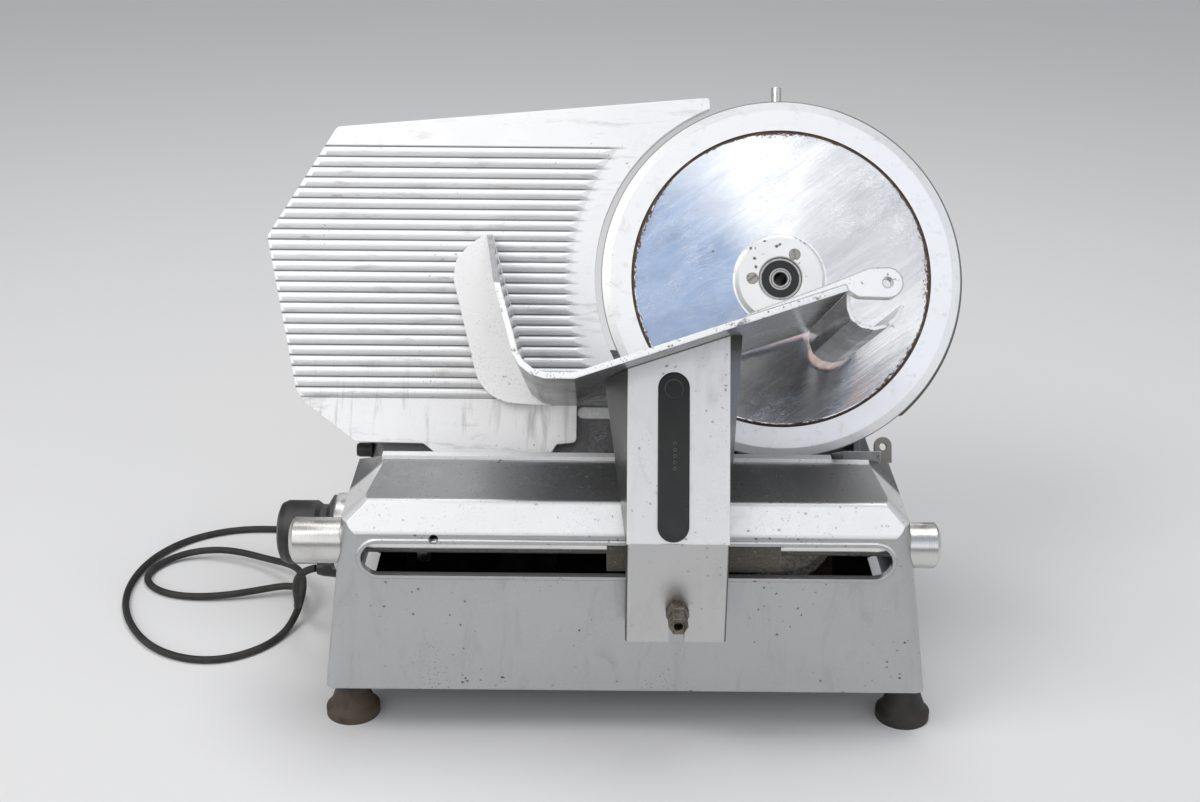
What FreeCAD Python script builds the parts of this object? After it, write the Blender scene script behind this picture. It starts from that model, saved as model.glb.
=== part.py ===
import FreeCAD, Part
import math
import os

import Sketcher

# Deli meat slicer with a leaning blade.  Millimetres, +Z up, X along the carriage travel
# (operator's end at -X), Y away from the operator's front face.
# The machine is drawn about the middle of its footprint and then moved so that the
# row origin is the centre of the underside of the front left foot.

V = FreeCAD.Vector
doc = FreeCAD.newDocument("meat_slicer")

# ---------------------------------------------------------------- driving dimensions
DIMS = {
    "blade_radius": 175.0,
    "blade_lean": 28.0,
    "blade_x": 153.0,
    "blade_y": 76.0,
    "blade_height": 342.0,
    "base_bottom": 48.0,
    "base_front": -200.0,
    "base_back": 200.0,
    "deck_height": 155.0,
    "wall": 5.0,
    "foot_height": 44.0,
    "foot_base_radius": 24.5,
    "foot_top_radius": 13.0,
    "cover_thickness": 4.0,
    "rod_radius": 10.0,
    "rod_y": -173.0,
    "rod_height": 182.0,
    "cap_radius": 20.0,
    "bar_radius": 8.0,
    "bar_height": 112.0,
    "roller_radius": 8.0,
    "block_length": 150.0,
    "slot_length": 456.0,
    "slot_width": 31.0,
    "column_width": 86.0,
    "column_thickness": 32.0,
    "table_depth": 260.0,
    "sheet": 5.0,
    "gauge_thickness": 12.0,
    "rib_radius": 4.6,
    "rib_pitch": 10.3,
    "ring_clearance": 6.0,
    "boss_radius": 43.0,
    "bearing_radius": 21.0,
    "axle_radius": 10.0,
    "blade_pulley_radius": 60.0,
    "motor_pulley_radius": 22.0,
    "motor_drop": 241.0,
    "motor_radius": 50.0,
    "belt_thickness": 4.0,
    "tower_radius": 80.0,
    "post_radius": 5.0,
    "knob_radius": 29.0,
    "knob_length": 52.0,
    "knob_y": -112.0,
    "knob_height": 158.0,
    "shaft_radius": 6.0,
    "cable_radius": 3.6,
    "running_gap": 0.05,
}
sheet = doc.addObject("Spreadsheet::Sheet", "dims")
for row, (alias, value) in enumerate(DIMS.items(), start=1):
    sheet.set("A%d" % row, alias)
    sheet.set("B%d" % row, str(value))
    sheet.setAlias("B%d" % row, alias)
doc.recompute()


def dim(alias):
    """A driving dimension as a number."""
    return DIMS[alias]


GAP = dim("running_gap")
LEAN = math.radians(dim("blade_lean"))
FOOT_LEFT, FOOT_RIGHT, FOOT_FRONT, FOOT_BACK = -246.0, 258.0, -162.0, 162.0
SHIFT = V(-FOOT_LEFT, -FOOT_FRONT, 0)
MACHINE = FreeCAD.Placement(SHIFT, FreeCAD.Rotation())
# blade frame: first axis along X, second up the blade plane, third out of the blade
# towards the operator
BLADE = FreeCAD.Placement(
    V(dim("blade_x"), dim("blade_y"), dim("blade_height")) + SHIFT,
    FreeCAD.Rotation(V(1, 0, 0), 90 - dim("blade_lean")))
TO_MACHINE = MACHINE.inverse().multiply(BLADE)
ALONG_X = FreeCAD.Rotation(V(0, 1, 0), 90)
ALONG_MINUS_X = FreeCAD.Rotation(V(0, 1, 0), -90)
ALONG_MINUS_Y = FreeCAD.Rotation(V(1, 0, 0), 90)
ALONG_BACK = FreeCAD.Rotation(V(1, 0, 0), -90)
UPRIGHT = FreeCAD.Rotation()

NODES = []
counter = [0]


def fresh(kind, stem):
    """A new document object with a unique internal name."""
    counter[0] += 1
    return doc.addObject(kind, "%s_%03d" % (stem, counter[0]))


def bind(obj, prop, value):
    """Set a size from a number, or tie it to the sheet when given as words."""
    if isinstance(value, str):
        obj.setExpression(prop, value)
    else:
        setattr(obj, prop, value)


def at(obj, position, rotation=UPRIGHT):
    """Place an object and hand it back."""
    obj.Placement = FreeCAD.Placement(V(*position), rotation)
    return obj


def box(position, size, rotation=UPRIGHT):
    """Block from its lowest corner."""
    obj = fresh("Part::Box", "block")
    for prop, value in zip(("Length", "Width", "Height"), size):
        bind(obj, prop, value)
    return at(obj, position, rotation)


def cylinder(position, radius, length, rotation=UPRIGHT):
    """Cylinder from the centre of its base."""
    obj = fresh("Part::Cylinder", "round")
    bind(obj, "Radius", radius)
    bind(obj, "Height", length)
    return at(obj, position, rotation)


def cone(position, radius1, radius2, length, rotation=UPRIGHT):
    """Cone frustum from the centre of its base."""
    obj = fresh("Part::Cone", "taper")
    bind(obj, "Radius1", radius1)
    bind(obj, "Radius2", radius2)
    bind(obj, "Height", length)
    return at(obj, position, rotation)


def hexagon(position, flats, length, rotation=UPRIGHT):
    """Six-sided bar of a given width across its flats."""
    obj = fresh("Part::Prism", "hexagon")
    obj.Polygon = 6
    obj.Circumradius = flats / math.sqrt(3)
    bind(obj, "Height", length)
    return at(obj, position, rotation)


def drawn(shape):
    """A helper solid whose outline is worked out point by point."""
    obj = fresh("Part::Feature", "outline")
    obj.Shape = shape
    return obj


def cut(base, *tools):
    """First solid with all the others taken away."""
    obj = fresh("Part::Cut", "cut")
    obj.Base = base
    obj.Tool = tools[0] if len(tools) == 1 else fuse(*tools)
    return obj


def fuse(*parts):
    """Several solids joined into one."""
    obj = fresh("Part::MultiFuse", "joined")
    obj.Shapes = list(parts)
    return obj


def common(*parts):
    """What several solids share."""
    obj = fresh("Part::MultiCommon", "shared")
    obj.Shapes = list(parts)
    return obj


def group(parts):
    """Separate solids kept together under one name."""
    obj = fresh("Part::Compound", "group")
    obj.Links = list(parts)
    return obj


def node(label, obj, frame=MACHINE):
    """Name one sub-part and put it in its place in the row."""
    obj.Label = label
    obj.Placement = frame.multiply(obj.Placement)
    NODES.append(obj)
    return obj


def rounded_face(points, radii):
    """Flat face with an arc at each corner; radius 0 keeps the corner sharp."""
    points = [V(p[0], p[1], 0) for p in points]
    count = len(points)
    if not isinstance(radii, (list, tuple)):
        radii = [radii] * count
    edges = []
    arcs = []
    for i, corner in enumerate(points):
        before = (points[i - 1] - corner).normalize()
        after = (points[(i + 1) % count] - corner).normalize()
        if radii[i] <= 0:
            arcs.append((corner, None, corner))
            continue
        half = before.getAngle(after) / 2
        reach = radii[i] / math.tan(half)
        middle = (before + after).normalize()
        centre = corner + middle * (radii[i] / math.sin(half))
        arcs.append((corner + before * reach, centre - middle * radii[i], corner + after * reach))
    for i, (start, through, end) in enumerate(arcs):
        if through is not None:
            edges.append(Part.Arc(start, through, end).toShape())
        following = arcs[(i + 1) % count][0]
        if (following - end).Length > 1e-6:
            edges.append(Part.makeLine(end, following))
    return Part.Face(Part.Wire(edges))


def slab(points, radii, low, high):
    """Rounded outline pulled from one level to another."""
    face = rounded_face(points, radii)
    face.translate(V(0, 0, low))
    return face.extrude(V(0, 0, high - low))


def strip(points, thickness, low, high):
    """Bent sheet: constant thickness along a line of points, pulled between two levels."""
    left, right = [], []
    for i, point in enumerate(points):
        here = V(point[0], point[1], 0)
        steps = []
        if i > 0:
            steps.append((here - V(points[i - 1][0], points[i - 1][1], 0)).normalize())
        if i < len(points) - 1:
            steps.append((V(points[i + 1][0], points[i + 1][1], 0) - here).normalize())
        run = steps[0] if len(steps) == 1 else (steps[0] + steps[1]).normalize()
        side = V(-run.y, run.x, 0)
        reach = thickness / 2 / (V(-steps[0].y, steps[0].x, 0) * side)
        left.append(here + side * reach)
        right.append(here - side * reach)
    outline = left + right[::-1]
    wire = Part.makePolygon(outline + [outline[0]])
    face = Part.Face(wire)
    face.translate(V(0, 0, low))
    return face.extrude(V(0, 0, high - low))


def along_x(profile, start, end):
    """Profile of (y, z) points pulled along X."""
    corners = [V(start, y, z) for y, z in profile]
    face = Part.Face(Part.makePolygon(corners + [corners[0]]))
    return face.extrude(V(end - start, 0, 0))


def plane_sketch(body, name, role):
    """Sketch lying on one of the body's own origin planes."""
    sketch = body.newObject("Sketcher::SketchObject", name)
    plane = [f for f in body.Origin.OriginFeatures if f.Role == role][0]
    sketch.AttachmentSupport = [(plane, "")]
    sketch.MapMode = "FlatFace"
    return sketch


def number(size):
    """Value of a plain number, or of a sheet dimension plus an offset."""
    return dim(size[0]) + size[1] if isinstance(size, tuple) else size


def hold(sketch, kind, index, point, size):
    """Dimension a point from the origin, tied to the sheet where the size names it."""
    value = number(size)
    if abs(value) < 1e-9:
        axis = -2 if kind == "DistanceX" else -1
        sketch.addConstraint(Sketcher.Constraint("PointOnObject", index, point, axis))
        return
    place = sketch.addConstraint(Sketcher.Constraint(kind, -1, 1, index, point, value))
    if isinstance(size, tuple):
        name = "%s_of_%d" % (kind, index)
        sketch.renameConstraint(place, name)
        sketch.setExpression("Constraints." + name, "dims.%s + %s" % size)


def turned_body(label, profile):
    """Body turned about its own Z axis from a profile of (radius, height) corners."""
    body = doc.addObject("PartDesign::Body", "body_" + label)
    sketch = plane_sketch(body, "profile_" + label, "XZ_Plane")
    corners = [V(number(radius), number(height), 0) for radius, height in profile]
    count = len(corners)
    for i in range(count):
        sketch.addGeometry(Part.LineSegment(corners[i], corners[(i + 1) % count]), False)
    for i in range(count):
        sketch.addConstraint(Sketcher.Constraint("Coincident", i, 2, (i + 1) % count, 1))
    for i, (radius, height) in enumerate(profile):
        hold(sketch, "DistanceX", i, 1, radius)
        hold(sketch, "DistanceY", i, 1, height)
    doc.recompute()
    turn = body.newObject("PartDesign::Revolution", "turn_" + label)
    turn.Profile = sketch
    turn.ReferenceAxis = (sketch, ["V_Axis"])
    turn.Angle = 360.0
    doc.recompute()
    return body


def turned(label, profile, frame):
    """A turned body that is a sub-part by itself."""
    return node(label, turned_body(label, profile), frame)


def padded_body(label, points, radii, low, length):
    """Plate pulled from a rounded outline that lies at one level of its own frame."""
    body = doc.addObject("PartDesign::Body", "body_" + label)
    sketch = plane_sketch(body, "outline_" + label, "XY_Plane")
    sketch.AttachmentOffset = FreeCAD.Placement(V(0, 0, low), UPRIGHT)
    edges = rounded_face(points, radii).OuterWire.OrderedEdges
    for edge in edges:
        if isinstance(edge.Curve, Part.Circle):
            piece = Part.ArcOfCircle(edge.Curve, edge.FirstParameter, edge.LastParameter)
        else:
            piece = Part.LineSegment(edge.Vertexes[0].Point, edge.Vertexes[1].Point)
        sketch.addGeometry(piece, False)
    for i in range(len(edges)):
        sketch.addConstraint(Sketcher.Constraint("Block", i))
    doc.recompute()
    pad = body.newObject("PartDesign::Pad", "pad_" + label)
    pad.Profile = sketch
    bind(pad, "Length", length)
    doc.recompute()
    return body


def drill(body, name, radius, place, repeats=1):
    """Round hole through a body along its Z axis, repeated evenly about that axis."""
    sketch = plane_sketch(body, "hole_" + name, "XY_Plane")
    sketch.addGeometry(Part.Circle(V(place[0], place[1], 0), V(0, 0, 1), radius), False)
    sketch.addConstraint(Sketcher.Constraint("Radius", 0, radius))
    hold(sketch, "DistanceX", 0, 3, place[0])
    hold(sketch, "DistanceY", 0, 3, place[1])
    doc.recompute()
    pocket = body.newObject("PartDesign::Pocket", "drill_" + name)
    pocket.Profile = sketch
    pocket.Type = "ThroughAll"
    pocket.SideType = "Symmetric"
    if repeats > 1:
        pattern = body.newObject("PartDesign::PolarPattern", "holes_" + name)
        pattern.Originals = [pocket]
        pattern.Axis = (sketch, ["N_Axis"])
        pattern.Angle = 360.0
        pattern.Occurrences = repeats
        body.Tip = pattern
    doc.recompute()
    return body


def shifted(frame, position, rotation=UPRIGHT):
    """A frame moved within itself."""
    return frame.multiply(FreeCAD.Placement(V(*position), rotation))


def in_machine(shape):
    """A blade-frame shape carried into the machine frame."""
    moved = shape.copy()
    moved.Placement = TO_MACHINE.multiply(moved.Placement)
    return moved


# ---------------------------------------------------------------- base casting
BOTTOM = dim("base_bottom")
FRONT = dim("base_front")
BACK = dim("base_back")
DECK = dim("deck_height")
WALL = dim("wall")
RIDGE_Y, RIDGE_Z = -130.0, 239.0
CREST_Y = -118.0
LEFT_END, RIGHT_END = -264.0, 269.0


def deck_slope(y):
    """Height of the sloping deck behind the ridge; it runs square to the blade."""
    return RIDGE_Z - 1 - (y - CREST_Y) * math.tan(LEAN)


SLOPE_END_Y = CREST_Y + (RIDGE_Z - 1 - DECK) / math.tan(LEAN)


def plan(left, right, front, back, corner, level):
    """Rounded rectangle seen from above, as a wire at one level."""
    outline = [(left, front), (right, front), (right, back), (left, back)]
    face = rounded_face(outline, corner)
    face.translate(V(0, 0, level))
    return face.OuterWire


def housing(inset):
    """Outer skin of the base, or its hollow when inset by the wall."""
    low = BOTTOM if inset == 0 else BOTTOM - 1
    front, back = FRONT + inset, BACK - inset
    side = [
        (front, low),
        (front, 202 - inset * 0.25),
        (-187 + inset * 0.8, 228 - inset * 0.8),
        (RIDGE_Y, RIDGE_Z - inset),
        (CREST_Y, RIDGE_Z - 1 - inset * 1.1),
        (SLOPE_END_Y, DECK - inset * 1.1),
        (back, DECK - inset * 1.1),
        (back, low),
    ]
    body = along_x(side, LEFT_END - 5, RIGHT_END + 5)
    bends = [(side[1], 12.0), (side[2], 7.0), (side[3], 4.0)]
    for (y, z), radius in bends:
        picks = [e for e in body.Edges if e.BoundBox.XLength > 300
                 and abs(e.BoundBox.Center.y - y) < 1 and abs(e.BoundBox.Center.z - z) < 1]
        body = body.makeFillet(radius, picks)
    drafted = Part.makeLoft([
        plan(LEFT_END + inset, RIGHT_END - inset, front, back, 9 - inset, low),
        plan(-243.5 + inset, 245 - inset, front, back, 18 - inset, 211),
        plan(-207 + inset, 212 - inset, front + 14, back, 18 - inset, 243)], True, True)
    return body.common(drafted)


outer = housing(0)
inner = housing(WALL)
casting = outer.cut(inner)
outer_skin = drawn(outer)

SLOT_Z = 179.0
SLOT_LEFT = -226.0
SLOT_R = dim("slot_width") / 2
SLOT_RIGHT = SLOT_LEFT + dim("slot_length")


def stadium(left, right, height, radius, front, back):
    """Upright stadium-shaped block between two Y levels."""
    outline = [(left, height - radius), (right, height - radius),
               (right, height + radius), (left, height + radius)]
    face = rounded_face(outline, radius - 0.001)
    face.rotate(V(0, 0, 0), V(1, 0, 0), 90)
    face.translate(V(0, front, 0))
    return face.extrude(V(0, back - front, 0))


lip = stadium(SLOT_LEFT - 4, SLOT_RIGHT + 4, SLOT_Z, SLOT_R + 4, FRONT - 2.2, FRONT + 1)
lip = lip.makeFillet(1.8, [e for e in lip.Edges if e.BoundBox.YMax < FRONT - 2])
casting = casting.fuse(lip)
slot = stadium(SLOT_LEFT, SLOT_RIGHT, SLOT_Z, SLOT_R, FRONT - 6, FRONT + WALL + 3)
casting = casting.cut(slot)
catch_hole = Part.makeCylinder(4.0, 12, V(-163, FRONT - 6, 198), V(0, 1, 0))
casting = casting.cut(catch_hole)

# bosses for the foot screws, tied into the walls
FOOT_SCREW_R = 4.0
FOOT_HEAD_R = 6.5
COVER_SCREW_R = 2.0
COVER_SCREWS = [(x, y) for x in (-120, 130) for y in (-150, 150)]
FEET = [(x, y) for x in (FOOT_LEFT, FOOT_RIGHT) for y in (FOOT_FRONT, FOOT_BACK)]
for x, y in FEET:
    inward = 1 if x < 0 else -1
    boss = Part.makeCylinder(11, 22, V(x, y, BOTTOM))
    web = Part.makeBox(16, 10, 22, V(x - 8 - inward * 4, y - 5, BOTTOM))
    casting = casting.fuse(boss.fuse(web).common(outer))
    casting = casting.cut(Part.makeCylinder(FOOT_SCREW_R, 21, V(x, y, BOTTOM - 1)))

ROD_Y = dim("rod_y")
ROD_Z = dim("rod_height")
KNOB_Y = dim("knob_y")
KNOB_Z = dim("knob_height")
GLAND = (-60.0, 92.0)
rod_bore = Part.makeCylinder(dim("rod_radius"), 560, V(-280, ROD_Y, ROD_Z), V(1, 0, 0))
shaft_bore = Part.makeCylinder(dim("shaft_radius") + GAP, 40, V(-270, KNOB_Y, KNOB_Z), V(1, 0, 0))
gland_bore = Part.makeCylinder(7.0, 40, V(-280, GLAND[0], GLAND[1]), V(1, 0, 0))
belt_opening = Part.makeBox(150, 80, 30, V(dim("blade_x") - 75, 20, DECK - 20))
wire_opening = Part.makeCylinder(8.0, 30, V(-180, 110, DECK - 20))
for hole in (rod_bore, shaft_bore, gland_bore, belt_opening, wire_opening):
    casting = casting.cut(hole)
# raised rib at the right-hand end of the sloping deck
rib = along_x([(-96, deck_slope(-96) - 2), (-96, deck_slope(-96) + 10), (-30, deck_slope(-30) + 12),
               (-18, deck_slope(-18) + 8), (-18, deck_slope(-18) - 2)], 198, 232)
rib = rib.cut(Part.makeCylinder(5, 40, V(222, -60, deck_slope(-60) - 1), V(0, 0, 1)))
casting = casting.fuse(rib).removeSplitter()
node("base_housing", drawn(casting))

node("bottom_cover", cut(
    box((-246, FRONT + 14, BOTTOM - dim("cover_thickness")), (500, 372, "dims.cover_thickness")),
    *[cylinder((x, y, 40), FOOT_SCREW_R, 12) for x, y in FEET],
    *[cylinder((x, y, 40), COVER_SCREW_R, 12) for x, y in COVER_SCREWS]))

# ---------------------------------------------------------------- feet and screws
FOOT = dim("foot_height")
feet = []
screws = []
for x, y in FEET:
    pad = cylinder((x, y, 0), "dims.foot_base_radius", 7)
    brim = cone((x, y, 7), "dims.foot_base_radius", "dims.foot_base_radius - 4.5", 5)
    flare = cone((x, y, 12), "dims.foot_base_radius - 4.5", "dims.foot_top_radius + 2.5", 12)
    neck = cone((x, y, 24), "dims.foot_top_radius + 2.5", "dims.foot_top_radius", FOOT - 24)
    feet.append(cut(fuse(pad, brim, flare, neck),
                    cylinder((x, y, -1), FOOT_HEAD_R + 1.5, 13), cylinder((x, y, 0), FOOT_SCREW_R, 60)))
    screws.append(fuse(cylinder((x, y, 7), FOOT_HEAD_R, 5), cylinder((x, y, 7), FOOT_SCREW_R, 58)))
node("feet", group(feet))
node("foot_screws", group(screws))
node("cover_screws", group([
    fuse(cylinder((x, y, 41.5), 3.6, 2.5), cylinder((x, y, 41.5), COVER_SCREW_R, 8))
    for x, y in COVER_SCREWS]))

# ---------------------------------------------------------------- carriage rod and guide bar
node("carriage_rod", cylinder((-264, ROD_Y, ROD_Z), "dims.rod_radius", 528, ALONG_X))
# turned end caps: chamfered drums, seated on the drafted ends, blind bores over the rod
CAP_TAIL = 8.0
ROD = ("rod_radius", 0.0)
CAP = ("cap_radius", 0.0)


def end_cap(side, length, reach, rotation, seat_x):
    """Drum of one length, seated at an end wall, with a bore deep enough for the rod."""
    drum = turned_body("cap_" + side, [
        (0, reach), (ROD, reach), (ROD, -CAP_TAIL), (CAP, -CAP_TAIL), (CAP, length - 4),
        (("cap_radius", -2.0), length - 2), (("cap_radius", -6.0), length), (0, length)])
    return cut(at(drum, (seat_x, ROD_Y, ROD_Z), rotation), outer_skin)


node("rod_cap_left", end_cap("left", 40, 14, ALONG_MINUS_X, -250.0))
node("rod_cap_right", end_cap("right", 22, 12, ALONG_X, 252.0))
BAR_Z = dim("bar_height")
node("guide_bar", cylinder((-248, ROD_Y, BAR_Z), "dims.bar_radius", 498, ALONG_X))
node("guide_bar_brackets", group([
    cut(box((x, FRONT + WALL, BAR_Z - 16), (10, 42, 32)),
        cylinder((x - 1, ROD_Y, BAR_Z), "dims.bar_radius", 12, ALONG_X))
    for x in (-222, 212)]))

# ---------------------------------------------------------------- carriage
BLOCK_X = -15.0
NECK_Z = 168.0
block = box((BLOCK_X, ROD_Y - 19, ROD_Z - 18), ("dims.block_length", 38, 36))
neck = box((12, -204, NECK_Z), (62, 20, 22))
cheeks = [box((48, y, BAR_Z + 5), (24, 4.5, ROD_Z - 17 - BAR_Z - 5)) for y in (ROD_Y - 13.5, ROD_Y + 9)]
bush_seats = [cylinder((x, ROD_Y, ROD_Z), "dims.rod_radius + 4", 27, ALONG_X)
              for x in (BLOCK_X - 1, BLOCK_X + 124)]
rod_way = cylinder((BLOCK_X - 1, ROD_Y, ROD_Z), "dims.rod_radius + 1", 152, ALONG_X)
PIN_R = 3.0
ROLLER = (60.0, ROD_Y, BAR_Z + dim("bar_radius") + dim("roller_radius") + GAP)
pin_way = cylinder((ROLLER[0], ROD_Y - 20, ROLLER[2]), PIN_R, 40, ALONG_BACK)
node("carriage_block", cut(fuse(block, neck, *cheeks), *bush_seats, rod_way, pin_way))
node("carriage_bushes", group([
    cut(cylinder((x, ROD_Y, ROD_Z), "dims.rod_radius + 4", 26, ALONG_X),
        cylinder((x - 1, ROD_Y, ROD_Z), "dims.rod_radius + dims.running_gap", 28, ALONG_X))
    for x in (BLOCK_X, BLOCK_X + 124)]))
node("roller_pin", cylinder((ROLLER[0], ROD_Y - 13.5, ROLLER[2]), PIN_R, 27, ALONG_BACK))
node("guide_roller", cut(
    cylinder((ROLLER[0], ROD_Y - 7, ROLLER[2]), "dims.roller_radius", 14, ALONG_BACK),
    cylinder((ROLLER[0], ROD_Y - 8, ROLLER[2]), PIN_R + GAP, 16, ALONG_BACK)))

# the arm: a vertical foot, then a flared upper part that leans with the blade
COLUMN_W = dim("column_width")
COLUMN_T = dim("column_thickness")
ARM_FACE = 215.0
ARM_LEFT = -152.0
ARM_RIGHT = ARM_LEFT + COLUMN_W
ARM_LOW = -260.0


def under_table(a):
    """Height of the table's underside, up the blade plane, at a place across it."""
    return -127.6 + (a + 195) * 0.3326


def arm_section(top_left, top_right, out):
    """Outline of the arm at one distance out from the blade: level foot, top under the table."""
    corners = [V(ARM_LEFT, ARM_LOW, out), V(ARM_RIGHT, ARM_LOW, out),
               V(top_right, under_table(top_right), out), V(top_left, under_table(top_left), out)]
    return Part.makePolygon(corners + [corners[0]])


# the sides slope back from a parallel front face to a flared back edge
arm_flare = Part.makeLoft([
    arm_section(ARM_LEFT, ARM_RIGHT, ARM_FACE),
    arm_section(ARM_LEFT, ARM_RIGHT, ARM_FACE - 3),
    arm_section(-171, -53, ARM_FACE - COLUMN_T)], True, True)
arm_foot = Part.makeBox(COLUMN_W, 32, 94, V(1, -236, 120))
arm_foot = arm_foot.makeFillet(4, [e for e in arm_foot.Edges
                                   if e.BoundBox.ZLength > 50 and e.BoundBox.YMax < -230])
arm = arm_foot.fuse(in_machine(arm_flare)).removeSplitter()
STAND_X, STAND_Z = 44.5, 153.0
arm = arm.cut(Part.makeBox(13.4, 40, 26, V(38, -240, 119)))
arm = arm.cut(Part.makeCylinder(5.0, 20, V(STAND_X, -237, STAND_Z), V(0, 1, 0)))
node("carriage_column", drawn(arm))

hex_big = hexagon((STAND_X, -236, STAND_Z), 17.0, 14, ALONG_MINUS_Y)
hex_small = hexagon((STAND_X, -250, STAND_Z), 14.5, 16, ALONG_MINUS_Y)
stud = cylinder((STAND_X, -236, STAND_Z), 5.0, 16, ALONG_BACK)
node("hex_standoff", cut(fuse(hex_big, hex_small, stud),
                         cylinder((STAND_X, -254, STAND_Z), 4.0, 13, ALONG_MINUS_Y)))

# soft grip let into the arm: a stadium with a shallow round mark and five raised dots
GRIP_MIDDLE, GRIP_HALF = -113.2, 13.2
GRIP_LOW, GRIP_TOP = -258.0, -116.0
GRIP_FACE = ARM_FACE + 3.5
grip = slab([(GRIP_MIDDLE - GRIP_HALF, GRIP_LOW), (GRIP_MIDDLE + GRIP_HALF, GRIP_LOW),
             (GRIP_MIDDLE + GRIP_HALF, GRIP_TOP), (GRIP_MIDDLE - GRIP_HALF, GRIP_TOP)],
            GRIP_HALF - 0.01, ARM_FACE, GRIP_FACE)
grip = grip.makeFillet(1.5, [e for e in grip.Edges if e.BoundBox.ZMin > GRIP_FACE - 0.5])
grip = grip.cut(Part.makeCylinder(7.6, 2, V(GRIP_MIDDLE, GRIP_TOP - 14, GRIP_FACE - 0.6)))
for i in range(5):
    dot_level = GRIP_TOP - 60 - i * 5.2
    grip = grip.fuse(Part.makeCylinder(1.3, 1.2, V(GRIP_MIDDLE + 1, dot_level, GRIP_FACE - 0.5)))
node("grip_insert", drawn(grip), BLADE)

# ---------------------------------------------------------------- meat table
SHEET = dim("sheet")
TABLE_BACK = 9.0
TABLE_FRONT = TABLE_BACK + dim("table_depth")
table = strip([(-283.5, 38.5), (-244, -106), (-239, -115), (-230, -122), (-220, -125),
               (-196, -125), (24, -125 + 220 * 0.3326)],
              SHEET, TABLE_BACK, TABLE_FRONT)
fall = 88.5 / dim("table_depth")
crest = [V(-330, 38.5, TABLE_BACK - 1), V(-330, 80, TABLE_BACK - 1), V(-330, 80, TABLE_FRONT + 1),
         V(-330, 38.5 - fall * (dim("table_depth") + 1), TABLE_FRONT + 1)]
crest = Part.Face(Part.makePolygon(crest + [crest[0]])).extrude(V(140, 0, 0))
node("meat_table", drawn(table.cut(crest)), BLADE)

TAB_THICKNESS = 12.0
tab = padded_body("tab", [
    (24.5, -53.9), (33, -59.3), (70, -60.2), (69, -34.4), (42, -35.2),
    (4, -51), (-58, -74.3), (-59, -76.9), (22.5, -49.9)],
    [0, 7, 12.4, 12.4, 14, 20, 0, 0, 0], TABLE_FRONT - TAB_THICKNESS, TAB_THICKNESS)
drill(tab, "pusher_rod", 4.0, (57, -47))
node("table_tab", cut(tab, drawn(table)), BLADE)

gutter = strip([(26.8, -50.5), (26.8, -66), (30, -75), (38, -81), (48, -83), (58, -80.5), (66, -74),
                (71, -64)], 3.0, TABLE_BACK + 6, TABLE_FRONT - TAB_THICKNESS - 0.5)
node("table_gutter", drawn(gutter), BLADE)

FLANGE_BACK = 4.5
flange = padded_body("flange", [
    (-218, -128), (-288, -124), (-318, -4), (-315, 14),
    (-302, 29), (-283, 41), (-279.6, 37.2), (-241.5, -106), (-236, -113), (-218, -121.5)],
    [2, 42, 14, 14, 12, 1, 0, 0, 0, 0], FLANGE_BACK, TABLE_BACK - FLANGE_BACK)
node("hand_guard_flange", flange, BLADE)

# ---------------------------------------------------------------- gauge plate
GAUGE_FACE = -1.0
GAUGE_BACK = GAUGE_FACE - dim("gauge_thickness")
RIM = dim("blade_radius") + dim("ring_clearance")
OUTLINE = [(-434.6, 146), (-70, 178), (-60, -119), (-197.5, -119), (-197.5, -162),
           (-216.5, -164), (-221.5, -172), (-334, -172.5), (-345, -164), (-410, -163),
           (-461, -125), (-469, -112), (-500.5, 37)]
plate = padded_body("gauge", OUTLINE, [6, 3, 0, 4, 5, 2, 3, 5, 6, 10, 8, 10, 9],
                    GAUGE_BACK, "dims.gauge_thickness")
rim_cut = cylinder((0, 0, -40), "dims.blade_radius + dims.ring_clearance", 60)
# broad rounded ribs with narrow grooves between them, running out before the blade
RIB_COUNT = 24
RIB_TOP = 122.0
RIB_RISE = 2.4
INSET = [(-432, 139), (-60, 160), (-60, -130), (-457, -124), (-466, -112), (-497.5, 36.5)]
field = slab(INSET, [4, 0, 0, 8, 8, 8], GAUGE_FACE - 4, GAUGE_FACE + RIB_RISE + 2)
field = field.cut(Part.makeCone(RIM + 10, RIM + 36, RIB_RISE + 6, V(0, 0, GAUGE_FACE - 4)))
bars = [cylinder((-499, RIB_TOP - i * dim("rib_pitch"), GAUGE_FACE - dim("rib_radius") + RIB_RISE),
                 "dims.rib_radius", 440, ALONG_X) for i in range(RIB_COUNT)]
ribs = common(fuse(*bars), drawn(field))
node("gauge_plate", fuse(cut(plate, rim_cut), ribs), BLADE)

GUIDE = (-300.0, -142.0)
GUIDE_R = 9.0
CARRIER_BACK = -23.0
carrier = padded_body("carrier", [(-350, -163), (-250, -163), (-250, -118), (-350, -118)], 8,
                      CARRIER_BACK, GAUGE_BACK - CARRIER_BACK)
drill(carrier, "guide", GUIDE_R, GUIDE)
node("gauge_carrier", carrier, BLADE)
node("gauge_guide_rod", cylinder((GUIDE[0], GUIDE[1], -88), GUIDE_R, 88 + GAUGE_BACK), BLADE)

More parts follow.
